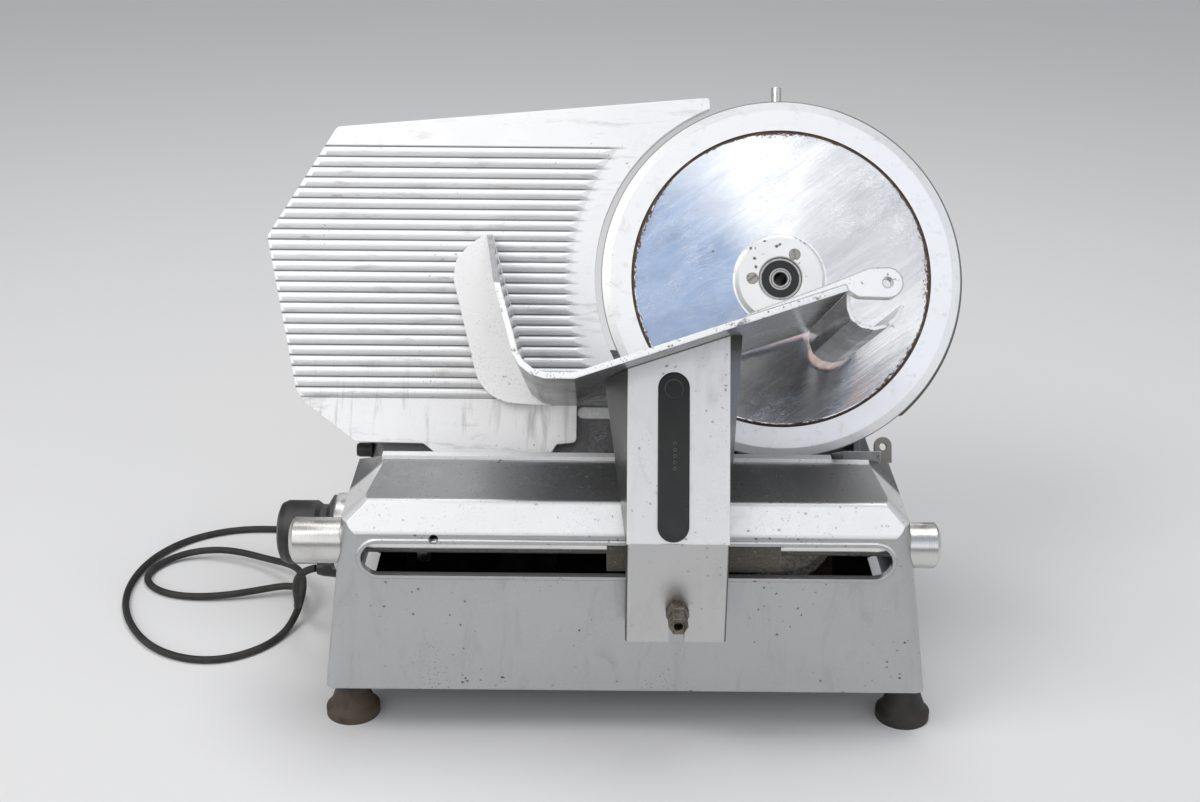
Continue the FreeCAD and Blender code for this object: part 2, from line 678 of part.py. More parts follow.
# ---------------------------------------------------------------- thickness knob
WALL_LEFT = -255.5
INDEX_THICK = 4.0
SHAFT = ("shaft_radius", 0.0)
turned("thickness_knob",
       [(SHAFT, 0), (34, 0), (34, 3), (("knob_radius", -3.5), 8), (("knob_radius", -3.5), 13),
        (("knob_radius", 0.0), 18), (("knob_radius", 0.0), ("knob_length", -8.0)),
        (("knob_radius", -2.5), ("knob_length", -2.5)), (("knob_radius", -8.0), ("knob_length", 0.0)),
        (0, ("knob_length", 0.0)), (0, 30), (SHAFT, 30)],
       shifted(MACHINE, (WALL_LEFT - INDEX_THICK - 0.2, KNOB_Y, KNOB_Z), ALONG_MINUS_X))
index = turned_body("index", [
    (("shaft_radius", 2.0), -16), (36, -16), (36, INDEX_THICK - 1.5), (34.5, INDEX_THICK),
    (("shaft_radius", 2.0), INDEX_THICK)])
node("index_ring", cut(at(index, (WALL_LEFT, KNOB_Y, KNOB_Z), ALONG_MINUS_X), outer_skin))
node("thickness_shaft", cylinder((WALL_LEFT - 34.2, KNOB_Y, KNOB_Z), "dims.shaft_radius", 120, ALONG_X))
node("thickness_cam", cut(cylinder((-186, KNOB_Y + 6, KNOB_Z - 5), 24.0, 9, ALONG_X),
                          cylinder((-187, KNOB_Y, KNOB_Z), "dims.shaft_radius", 12, ALONG_X)))

# ---------------------------------------------------------------- blade and hub
BEARING = ("bearing_radius", 0.0)


def edge_in(inwards):
    """Radius counted in from the cutting edge."""
    return ("blade_radius", -inwards)


SCREW_CIRCLE = 27.5
SCREW_R = 3.0
HEAD_R = 5.75
HEAD_DEPTH = 2.75
BOSS_FACE = -5.0
SCREW_ANGLES = [180, 60, 300]
HOLE_AT = (-SCREW_CIRCLE, 0)
# hollow ground blade: flat back, bevelled edge, flat ring, groove and shallow dish
blade = turned_body("blade", [
    (BEARING, -17), (60, -17), (95, -14.5), (130, -10), (150, -6.5), (edge_in(7.0), -4.2),
    (edge_in(0.0), -1.9), (edge_in(0.0), -1.5), (edge_in(9.0), 0), (edge_in(29.5), 0),
    (edge_in(30.0), -0.9), (edge_in(33.0), -0.9), (125, -3.4), (105, -6.1), (85, -8.6),
    (65, -11), (46, -13), (BEARING, -13)])
node("blade", drill(blade, "blade", SCREW_R, HOLE_AT, len(SCREW_ANGLES)), BLADE)
boss = turned_body("boss", [
    (BEARING, -13), (("boss_radius", 1.0), -13), (("boss_radius", 1.0), -9), (("boss_radius", 0.0), -7.5),
    (("boss_radius", -2.0), BOSS_FACE), (("bearing_radius", 1.0), BOSS_FACE), (BEARING, BOSS_FACE - 1)])
drill(boss, "boss", SCREW_R, HOLE_AT, len(SCREW_ANGLES))
hub = turned_body("hub", [
    (BEARING, -17), (BEARING, -34), (18, -34), (18, -50), (BEARING, -50), (BEARING, -66), (34, -66),
    (34, -22), (42, -22), (42, -17)])
node("pulley_hub", drill(hub, "hub", SCREW_R, HOLE_AT, len(SCREW_ANGLES)), BLADE)

sinks = []
hub_screws = []
for angle in SCREW_ANGLES:
    x = SCREW_CIRCLE * math.cos(math.radians(angle))
    y = SCREW_CIRCLE * math.sin(math.radians(angle))
    head = (x, y, BOSS_FACE - HEAD_DEPTH)
    sinks.append(cone(head, SCREW_R, HEAD_R, HEAD_DEPTH))
    turn = FreeCAD.Rotation(V(0, 0, 1), angle + 35)
    slot_at = V(x, y, BOSS_FACE - 1.2) + turn.multVec(V(-7, -0.7, 0))
    hub_screws.append(cut(fuse(cylinder((x, y, -24), SCREW_R, 18), cone(head, SCREW_R, HEAD_R, HEAD_DEPTH)),
                          box(slot_at, (14, 1.4, 1.4), turn)))
node("blade_boss", cut(boss, *sinks), BLADE)
node("hub_screws", group(hub_screws), BLADE)

outer_rings = []
inner_rings = []
for face_level in (-8.0, -51.0):
    low = face_level - 12
    outer_rings.append(cut(cylinder((0, 0, low), "dims.bearing_radius", 12),
                           cylinder((0, 0, low - 1), 13.6, 14)))
    inner_rings.append(cut(cylinder((0, 0, low), 13.5, 12),
                           cylinder((0, 0, low - 1), "dims.axle_radius", 14)))
node("bearing_outer_rings", group(outer_rings), BLADE)
node("bearing_inner_rings", group(inner_rings), BLADE)
axle = cut(fuse(cylinder((0, 0, -100), "dims.axle_radius", 92.5), cylinder((0, 0, -76), 15.0, 7)),
           cylinder((0, 0, -101), 6.3, 100))
node("blade_axle", axle, BLADE)

PULLEY_LOW, PULLEY_HIGH = -64.0, -46.0


def rimmed(bore, alias):
    """Profile of a belt pulley with two low rims."""
    bed, rim = (alias, 0.0), (alias, 3.0)
    return [(bore, PULLEY_LOW), (rim, PULLEY_LOW), (rim, PULLEY_LOW + 2), (bed, PULLEY_LOW + 2),
            (bed, PULLEY_HIGH - 2), (rim, PULLEY_HIGH - 2), (rim, PULLEY_HIGH), (bore, PULLEY_HIGH)]


turned("blade_pulley", rimmed(34.0, "blade_pulley_radius"), BLADE)

# ---------------------------------------------------------------- motor and belt
MOTOR = (-7.0, -dim("motor_drop"))
MOTOR_SHAFT_R = 7.0
MOTOR_FRAME = shifted(BLADE, (MOTOR[0], MOTOR[1], 0))
turned("motor_pulley", rimmed(MOTOR_SHAFT_R, "motor_pulley_radius"), MOTOR_FRAME)
node("motor_shaft", cylinder((0, 0, -66), MOTOR_SHAFT_R, 36), MOTOR_FRAME)


def belt_loop(extra, low, high):
    """Closed band round both pulleys, taken tangent to each."""
    big = dim("blade_pulley_radius") + extra
    small = dim("motor_pulley_radius") + extra
    dx, dy = MOTOR
    span = math.hypot(dx, dy)
    base_angle = math.atan2(dy, dx)
    open_angle = math.acos((big - small) / span)
    first = base_angle + open_angle
    second = base_angle - open_angle
    p1 = V(big * math.cos(first), big * math.sin(first), 0)
    p2 = V(big * math.cos(second), big * math.sin(second), 0)
    q1 = V(dx + small * math.cos(first), dy + small * math.sin(first), 0)
    q2 = V(dx + small * math.cos(second), dy + small * math.sin(second), 0)
    far_big = V(-big * math.cos(base_angle), -big * math.sin(base_angle), 0)
    far_small = V(dx + small * math.cos(base_angle), dy + small * math.sin(base_angle), 0)
    wire = Part.Wire([Part.Arc(p1, far_big, p2).toShape(), Part.makeLine(p2, q2),
                      Part.Arc(q2, far_small, q1).toShape(), Part.makeLine(q1, p1)])
    face = Part.Face(wire)
    face.translate(V(0, 0, low))
    return face.extrude(V(0, 0, high - low))


belt = belt_loop(GAP + dim("belt_thickness"), PULLEY_LOW + 3, PULLEY_HIGH - 3)
belt = belt.cut(belt_loop(GAP, PULLEY_LOW + 2, PULLEY_HIGH - 2))
node("drive_belt", drawn(belt), BLADE)

motor_can = cylinder((0, 0, -30), "dims.motor_radius", 100)
motor_end = cone((0, 0, 70), "dims.motor_radius", "dims.motor_radius - 8", 10)
motor_fins = [box((-2, 0, -18), (4, dim("motor_radius") + 2.5, 80),
                  FreeCAD.Rotation(V(0, 0, 1), 210 + i * 12)) for i in range(26)]
motor_frame_hole = cylinder((0, 0, -31), MOTOR_SHAFT_R + GAP, 12)
node("motor_body", cut(fuse(motor_can, motor_end, *motor_fins), motor_frame_hole), MOTOR_FRAME)
node("motor_bracket", cut(
    box((-60, -54, -36), (120, 98, 6)), cylinder((0, 0, -40), 12.0, 14)), MOTOR_FRAME)

# ---------------------------------------------------------------- tower behind the blade
TR = dim("tower_radius")
TOWER_BACK, TOWER_WALL, TOWER_FRONT = -86.0, -78.0, -28.0


def tombstone(radius, low, high):
    """Round-headed block standing on the blade's axis."""
    head = Part.makeCylinder(radius, high - low, V(0, 0, low))
    stem = Part.makeBox(2 * radius, 260, high - low, V(-radius, -260, low))
    return head.fuse(stem).removeSplitter()


tower = tombstone(TR, TOWER_BACK, TOWER_FRONT).cut(tombstone(TR - 6, TOWER_WALL, TOWER_FRONT + 1))
tower = tower.cut(Part.makeCylinder(dim("axle_radius"), 40, V(0, 0, -100)))
tower = tower.cut(Part.makeCylinder(15.0, 10, V(0, 0, -78)))
POST_W = -45.0
SPIGOT_R = 4.0
tower = tower.cut(Part.makeCylinder(SPIGOT_R, 12, V(0, TR - 8, POST_W), V(0, 1, 0)))
tower = in_machine(tower).cut(outer)
tower = tower.cut(Part.makeBox(800, 800, DECK + 100, V(-400, -400, -100)))
node("tower", drawn(tower))
node("axle_nut", cut(hexagon((0, 0, -98), 24.0, 12), cylinder((0, 0, -99), "dims.axle_radius", 14)),
     BLADE)
POST_TOP = 200.0
node("sharpener_post", fuse(cylinder((0, TR, POST_W), "dims.post_radius", POST_TOP - TR, ALONG_BACK),
                            cylinder((0, TR - 6, POST_W), SPIGOT_R, 8, ALONG_BACK)), BLADE)

GUARD_IN = dim("blade_radius") + 0.6
GUARD_THICK = 2.0


def ring_part(inner_r, outer_r, low, high, start, end):
    """Part of a ring about the blade's axis between two angles."""
    corners = [V(inner_r, 0, low), V(outer_r, 0, low), V(outer_r, 0, high), V(inner_r, 0, high)]
    face = Part.Face(Part.makePolygon(corners + [corners[0]]))
    face.rotate(V(0, 0, 0), V(0, 0, 1), start)
    return face.revolve(V(0, 0, 0), V(0, 0, 1), end - start)


guard_ring = ring_part(GUARD_IN, GUARD_IN + GUARD_THICK, -30, -9, -48, 72)
for angle in (60, 10):
    spoke = Part.makeBox(GUARD_IN - TR + GUARD_THICK - 0.2, 14, 8, V(TR - 0.2, -7, -30))
    spoke.rotate(V(0, 0, 0), V(0, 0, 1), angle)
    guard_ring = guard_ring.fuse(spoke)
guard_ring = guard_ring.cut(tombstone(TR, -90, 0)).removeSplitter()
node("guard_ring", drawn(guard_ring), BLADE)

# lug standing at the right-hand end of the slope
lug_low = deck_slope(-40)
lug = slab([(-8, 0), (8, 0), (8, 24), (-8, 24)], [0, 0, 8, 8], -3, 3)
lug = lug.cut(Part.makeCylinder(3.4, 10, V(0, 15, -5)))
lug.rotate(V(0, 0, 0), V(1, 0, 0), 90 - dim("blade_lean"))
lug.translate(V(243, -48, lug_low + 6))
lug = lug.cut(along_x([(-120, deck_slope(-120)), (40, deck_slope(40)), (40, 0), (-120, 0)], 200, 280))
node("guard_lug", drawn(lug))

# ---------------------------------------------------------------- rear housing
REAR_TOP = 215.0
REAR_FRONT = -40.0
SWITCH = (46.0, 168.0)
BUTTON_R = 7.0


def leaning_y(z, w):
    """Y of a plane parallel to the blade at a distance along its axis."""
    return dim("blade_y") + (z - dim("blade_height")) * math.tan(LEAN) - w / math.cos(LEAN)


def rear_block(inset, low, top):
    """Outer block of the rear housing, or its hollow when inset."""
    shape = along_x([(leaning_y(low, REAR_FRONT) + inset, low), (leaning_y(top, REAR_FRONT) + inset, top),
                     (186 - inset, top), (190 - inset, low)], -247 + inset, 68 - inset)
    corners = [e for e in shape.Edges if abs(e.Vertexes[0].Point.z - e.Vertexes[1].Point.z) > 20]
    return shape.makeFillet(12.0 - inset, corners)


rear = rear_block(0, DECK, REAR_TOP).cut(rear_block(3, DECK - 1, REAR_TOP - 3)).cut(outer)
guide_way = Part.makeCylinder(GUIDE_R + GAP, 300, V(GUIDE[0], GUIDE[1], -200))
switch_way = Part.makeCylinder(BUTTON_R + GAP, 30, V(-265, SWITCH[0], SWITCH[1]), V(1, 0, 0))
rear = rear.cut(in_machine(guide_way)).cut(switch_way)
node("rear_housing", drawn(rear))
node("gauge_guide_bush", drawn(
    Part.makeCylinder(14.0, 55, V(GUIDE[0], GUIDE[1], -99)).cut(guide_way)), BLADE)

node("rear_rail", drawn(slab([(-44, 0), (66, 0), (66, 11), (-44, 11)], [5.4, 0, 0, 5.4], 0, 4)),
     FreeCAD.Placement(V(0, leaning_y(REAR_TOP - 12, REAR_FRONT), REAR_TOP - 12) + SHIFT,
                       FreeCAD.Rotation(V(1, 0, 0), 90 - dim("blade_lean"))))
tray_rim = Part.makeBox(270, 120, 9, V(-232, 62, REAR_TOP)).cut(
    Part.makeBox(267, 117, 9, V(-230.5, 63.5, REAR_TOP + 1.5)))
node("slice_tray", drawn(tray_rim))
node("slice_deflector", drawn(strip([(-TR - 1, -70), (-TR - 1, -40), (-110, -34), (-150, -25)],
                                    2.0, -70, 70)),
     shifted(BLADE, (0, 0, 0), ALONG_MINUS_Y))

RAIL_TOP = 242.5
RAIL_HEIGHT = 22.0
RAIL_DEPTH = 9.0
RAIL_LEFT, RAIL_RIGHT = -214.0, 183.0
node("top_rail", cut(box((RAIL_LEFT, -127, RAIL_TOP - RAIL_HEIGHT),
                         (RAIL_RIGHT - RAIL_LEFT, RAIL_DEPTH, RAIL_HEIGHT)), outer_skin))

# ---------------------------------------------------------------- electrics
node("switch_panel", cut(box((-249, SWITCH[0] - 10, SWITCH[1] - 10.5), (2, 50, 21)),
                         cylinder((-252, *SWITCH), BUTTON_R + GAP, 8, ALONG_X)))
node("switch_button", fuse(cylinder((-261, *SWITCH), BUTTON_R, 25, ALONG_X),
                           cylinder((-263, *SWITCH), BUTTON_R - 0.8, 4, ALONG_X)))
node("electrical_box", box((-215, 20, BOTTOM), (150, 90, 52)))
turned("cable_gland",
       [(0, -8), (7, -8), (7, 0), (11, 0), (11, 7), (9, 9), (7.5, 24), (6, 30), (0, 30)],
       shifted(MACHINE, (-260.4, GLAND[0], GLAND[1]), ALONG_MINUS_X))


# mains lead: leaves the gland, lies in two loops on the floor and runs away behind to its plug
CABLE_R = dim("cable_radius")
REST = CABLE_R
path = [V(-292, -60, 92), V(-306, -56, 84), V(-318, -30, 40), V(-326, 10, 14)]
path += [V(-335, 45, 8 + REST)]
path += [V(-372, 44, 5 + REST), V(-425, 37, REST + 1), V(-470, 46, REST), V(-496, 78, REST),
         V(-478, 117, REST + 2), V(-425, 124, REST + 8), V(-374, 102, REST + 10), V(-338, 66, REST + 20),
         V(-322, 22, REST + 22), V(-328, -20, REST + 4), V(-352, -62, REST), V(-392, -83, REST),
         V(-440, -72, REST), V(-484, -26, REST), V(-508, 40, REST), V(-503, 105, REST + 1),
         V(-470, 162, REST), V(-414, 188, REST), V(-350, 190, REST), V(-290, 215, REST),
         V(-246, 262, 8), V(-215, 290, 14), V(-200, 304, 14)]
spine = Part.BSplineCurve()
spine.interpolate(path)
spine_wire = Part.Wire(spine.toShape())
start_way = spine.tangent(spine.FirstParameter)[0]
ring = Part.Wire(Part.makeCircle(CABLE_R, path[0], start_way))
lead = spine_wire.makePipeShell([ring], True, True)
node("power_cable", drawn(lead))

plug_body = slab([(-21, -14), (21, -14), (21, 14), (-21, 14)], 8, 0, 34)
plug_body = plug_body.fuse(Part.makeCone(9, CABLE_R + 1.2, 18, V(0, 0, 34)))
for side in (-9.5, 9.5):
    plug_body = plug_body.fuse(Part.makeCylinder(2.4, 19, V(side, 0, -19)))
end_way = spine.tangent(spine.LastParameter)[0]
end_way = V(end_way.x, end_way.y, 0).normalize()
plug_at = V(path[-1].x, path[-1].y, 14) + end_way * 52.5
heading = math.degrees(math.atan2(end_way.y, end_way.x))
upright = FreeCAD.Rotation(V(0, 0, 1), heading).multiply(FreeCAD.Rotation(V(0, 1, 0), -90))
upright = upright.multiply(FreeCAD.Rotation(V(0, 0, 1), 90))
plug = drawn(plug_body)
plug.Placement = FreeCAD.Placement(plug_at, upright)
node("mains_plug", plug)

# ---------------------------------------------------------------- checks and export
doc.recompute()
labels = [obj.Label for obj in NODES]
assert len(labels) == len(set(labels)), "two sub-parts share a name"
os.makedirs("parts", exist_ok=True)
for obj in NODES:
    faults = [flag for flag in obj.State if flag in ("Invalid", "Error")]
    assert not faults, "%s is %s" % (obj.Label, faults)
    assert not obj.Shape.isNull(), "%s is empty" % obj.Label
    assert obj.Shape.isValid(), "%s is not a valid solid" % obj.Label
    assert obj.Shape.Solids, "%s has no solid" % obj.Label
    obj.Shape.exportStep("parts/%s.step" % obj.Label)
print(len(NODES), "sub-parts written")
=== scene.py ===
import math

import bpy
from mathutils import Matrix, Vector

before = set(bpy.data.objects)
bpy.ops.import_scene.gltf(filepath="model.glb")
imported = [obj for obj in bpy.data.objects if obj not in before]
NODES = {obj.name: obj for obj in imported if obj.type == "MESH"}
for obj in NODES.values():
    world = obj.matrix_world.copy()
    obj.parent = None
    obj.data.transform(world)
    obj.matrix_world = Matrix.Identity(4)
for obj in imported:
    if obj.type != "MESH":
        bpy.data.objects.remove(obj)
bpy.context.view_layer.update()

# the machine's own middle, and the blade's axis, in the row's frame
SHIFT = Vector((0.246, 0.162, 0.0))
HUB = Vector((0.153, 0.076, 0.342)) + SHIFT
BLADE_TURN = (math.radians(-62.0), 0, 0)
# radii on the blade and in its bearing
EDGE_RADIUS = 0.175
BEVEL_RADIUS = EDGE_RADIUS - 0.009
GROOVE_INNER, GROOVE_OUTER = 0.1430, 0.1456
BEARING_RADIUS = 0.0208
SEAL_INNER, SEAL_OUTER = 0.0108, 0.0183
RING_GAP = 0.0090
BORE_RADIUS = 0.0070
# ribs of the thickness plate, counted down the blade plane from the top one
RIB_TOP, RIB_PITCH, RIB_COUNT = 0.122, 0.0103, 24
# how far the cut front edges of the table and its gutter stand out from the blade
TABLE_FRONT, GUTTER_FRONT = 0.269, 0.2565
# depth of the ridge that parts the front of the base from its sloping deck
RIDGE_Y = 0.030
# heights between which the feet are stained
FOOT_SOLE, FOOT_NECK = 0.012, 0.046
# a boundary between two finishes is this soft
BLUR = 0.0002


# ---------------------------------------------------------------- shader building tools
class Nodes:
    """Short hand for wiring one node tree."""

    def __init__(self, tree):
        self.tree = tree
        self.coords = tree.nodes.new("ShaderNodeTexCoord")

    def node(self, kind, **props):
        """A new shader node with some of its settings."""
        made = self.tree.nodes.new(kind)
        for key, value in props.items():
            setattr(made, key, value)
        return made

    def link(self, source, target):
        """A wire from an output to an input."""
        self.tree.links.new(source, target)

    def feed(self, socket, value):
        """Give an input a wire, a colour or a plain number."""
        if hasattr(value, "links"):
            self.link(value, socket)
        elif isinstance(value, (tuple, list)) and len(value) == 3 and socket.type == "RGBA":
            socket.default_value = (*value, 1.0)
        else:
            socket.default_value = value

    def math(self, kind, a, b=0.5, c=0.0, clamp=False):
        """One step of arithmetic on wires and numbers."""
        made = self.node("ShaderNodeMath", operation=kind, use_clamp=clamp)
        for socket, value in zip(made.inputs, (a, b, c)):
            self.feed(socket, value)
        return made.outputs[0]

    def times(self, *values):
        """All the values multiplied."""
        total = values[0]
        for value in values[1:]:
            total = self.math("MULTIPLY", total, value)
        return total

    def plus(self, a, b):
        return self.math("ADD", a, b)

    def less(self, a, b):
        """The first value less the second, held between zero and one."""
        return self.math("SUBTRACT", a, b, clamp=True)

    def most(self, *values):
        """The largest of the values."""
        total = values[0]
        for value in values[1:]:
            total = self.math("MAXIMUM", total, value)
        return total

    def span(self, value, low, high, to_low=0.0, to_high=1.0):
        """Straight-line change from one range to another, held at both ends."""
        made = self.node("ShaderNodeMapRange", clamp=True)
        for socket, item in zip(made.inputs[:5], (value, low, high, to_low, to_high)):
            self.feed(socket, item)
        return made.outputs[0]

    def within(self, value, low, high, soft):
        """One between two limits and zero outside, with soft edges."""
        return self.times(self.span(value, low - soft, low), self.span(value, high + soft, high))

    def mix(self, factor, a, b):
        """Colour between two, all of the second where the factor is one."""
        # inputs 6 and 7 and output 2 are the colour ones of this many-sided node
        made = self.node("ShaderNodeMix", data_type="RGBA")
        self.feed(made.inputs[0], factor)
        self.feed(made.inputs[6], a)
        self.feed(made.inputs[7], b)
        return made.outputs[2]

    def parts(self, vector):
        """The three outputs of a vector taken apart."""
        made = self.node("ShaderNodeSeparateXYZ")
        self.link(vector, made.inputs[0])
        return made.outputs

    def join(self, x, y, z):
        """Three values put together as a vector."""
        made = self.node("ShaderNodeCombineXYZ")
        for socket, value in zip(made.inputs, (x, y, z)):
            self.feed(socket, value)
        return made.outputs[0]


class Surface(Nodes):
    """One procedural material."""

    def __init__(self, name):
        self.material = bpy.data.materials.new(name)
        self.material.use_nodes = True
        super().__init__(self.material.node_tree)
        self.shader = self.tree.nodes["Principled BSDF"]
        self.soft = None

    def place(self, centre=(0, 0, 0), turn=(0, 0, 0), stretch=(1, 1, 1)):
        """Object coordinates moved to a centre, turned and stretched."""
        place = self.coords.outputs["Object"]
        for name, value in (("Location", [-c for c in centre]), ("Rotation", turn), ("Scale", stretch)):
            step = self.node("ShaderNodeMapping", vector_type="POINT")
            step.inputs[name].default_value = value
            self.link(place, step.inputs["Vector"])
            place = step.outputs[0]
        return place

    def blade_place(self, spin=0.0, stretch=(1, 1, 1)):
        """Coordinates across, up and out of the blade, about its axis."""
        flat = self.place(HUB, BLADE_TURN)
        if not spin and stretch == (1, 1, 1):
            return flat
        spun = self.node("ShaderNodeMapping", vector_type="POINT")
        spun.inputs["Rotation"].default_value = (0, 0, spin)
        self.link(flat, spun.inputs["Vector"])
        scaled = self.node("ShaderNodeMapping", vector_type="POINT")
        scaled.inputs["Scale"].default_value = stretch
        self.link(spun.outputs[0], scaled.inputs["Vector"])
        return scaled.outputs[0]

    def noise(self, vector, scale, detail=6.0, roughness=0.55, distortion=0.0):
        """Cloudy pattern about one half."""
        made = self.node("ShaderNodeTexNoise")
        self.link(vector, made.inputs["Vector"])
        made.inputs["Scale"].default_value = scale
        made.inputs["Detail"].default_value = detail
        made.inputs["Roughness"].default_value = roughness
        made.inputs["Distortion"].default_value = distortion
        return made.outputs["Fac"]

    def cells(self, vector, scale):
        """Distance to the nearest of many scattered points."""
        made = self.node("ShaderNodeTexVoronoi", feature="F1")
        self.link(vector, made.inputs["Vector"])
        made.inputs["Scale"].default_value = scale
        return made.outputs["Distance"]

    def radius(self, x, y):
        """Distance from the axis."""
        return self.math("SQRT", self.plus(self.times(x, x), self.times(y, y)))

    def bevel(self, radius=0.001):
        """Normal that rounds sharp edges softly; shared by the edge masks (worn edges, painted highlights
        and painted shadow outlines) and relief.
        """
        if self.soft is None:
            made = self.node("ShaderNodeBevel", samples=4)
            made.inputs["Radius"].default_value = radius
            self.soft = made.outputs[0]
        return self.soft

    def edges(self, reach=0.001):
        """Mask that is bright along edges, from the gap between true and softened normal."""
        geometry = self.node("ShaderNodeNewGeometry")
        dot = self.node("ShaderNodeVectorMath", operation="DOT_PRODUCT")
        self.link(self.bevel(reach), dot.inputs[0])
        self.link(geometry.outputs["Normal"], dot.inputs[1])
        return self.span(dot.outputs["Value"], 0.985, 0.85)

    def facing(self):
        """The direction a face looks: across, in depth and upward."""
        return self.parts(self.node("ShaderNodeNewGeometry").outputs["Normal"])

    def specks(self, vector, scale, low, high, patch_scale=20.0, patch=0.55):
        """Small round marks, gathered in patches.

    A mark is full within `low` of its point and gone past `high`, in parts of a cell, and shows
    only where a cloudy pattern is above `patch`."""
        wobble = self.node("ShaderNodeVectorMath", operation="MULTIPLY_ADD")
        self.link(self.join(self.noise(vector, scale * 3.0, 2.0), self.noise(vector, scale * 2.3, 2.0), 0.0),
                  wobble.inputs[0])
        wobble.inputs[1].default_value = (0.6 / scale, 0.6 / scale, 0.0)
        self.link(vector, wobble.inputs[2])
        marks = self.span(self.cells(wobble.outputs[0], scale), high, low)
        return self.times(marks, self.span(self.noise(vector, patch_scale, 3.0), patch, patch + 0.08))

    def scratches(self, vector, density, width=0.012, turns=(0.3, -0.7, 1.5)):
        """Thin random lines in a few directions."""
        total = None
        for i, turn in enumerate(turns):
            spin = self.node("ShaderNodeMapping")
            spin.inputs["Rotation"].default_value = (turn * 0.4, turn * 0.7, turn)
            spin.inputs["Location"].default_value = (i * 0.37, i * 0.11, i * 0.05)
            self.link(vector, spin.inputs["Vector"])
            stretch = self.node("ShaderNodeMapping")
            stretch.inputs["Scale"].default_value = (1.0, 14.0, 14.0)
            self.link(spin.outputs[0], stretch.inputs["Vector"])
            wander = self.noise(stretch.outputs[0], density, 2.0, 0.6, 0.4)
            away = self.math("ABSOLUTE", self.math("SUBTRACT", wander, 0.5))
            line = self.times(self.span(away, 0.0, width, 1.0, 0.0),
                              self.span(self.noise(spin.outputs[0], density * 0.6, 2.0), 0.52, 0.62))
            total = line if total is None else self.most(total, line)
        return total

    def relief(self, height, strength=0.3, distance=0.001, rounded=True):
        """Bump on top of softly rounded edges."""
        bump = self.node("ShaderNodeBump")
        bump.inputs["Strength"].default_value = strength
        bump.inputs["Distance"].default_value = distance
        self.link(height, bump.inputs["Height"])
        if rounded:
            self.link(self.bevel(), bump.inputs["Normal"])
        self.link(bump.outputs[0], self.shader.inputs["Normal"])

    def finish(self, color, roughness, metallic=0.0, **more):
        """Feed the shader; extra inputs are named with underscores for spaces."""
        self.feed(self.shader.inputs["Base Color"], color)
        self.feed(self.shader.inputs["Roughness"], roughness)
        self.feed(self.shader.inputs["Metallic"], metallic)
        for key, value in more.items():
            self.feed(self.shader.inputs[key.replace("_", " ")], value)
        return self.material


# ---------------------------------------------------------------- materials
DARK_SPOT = (0.035, 0.03, 0.026)
RUST = (0.16, 0.075, 0.03)


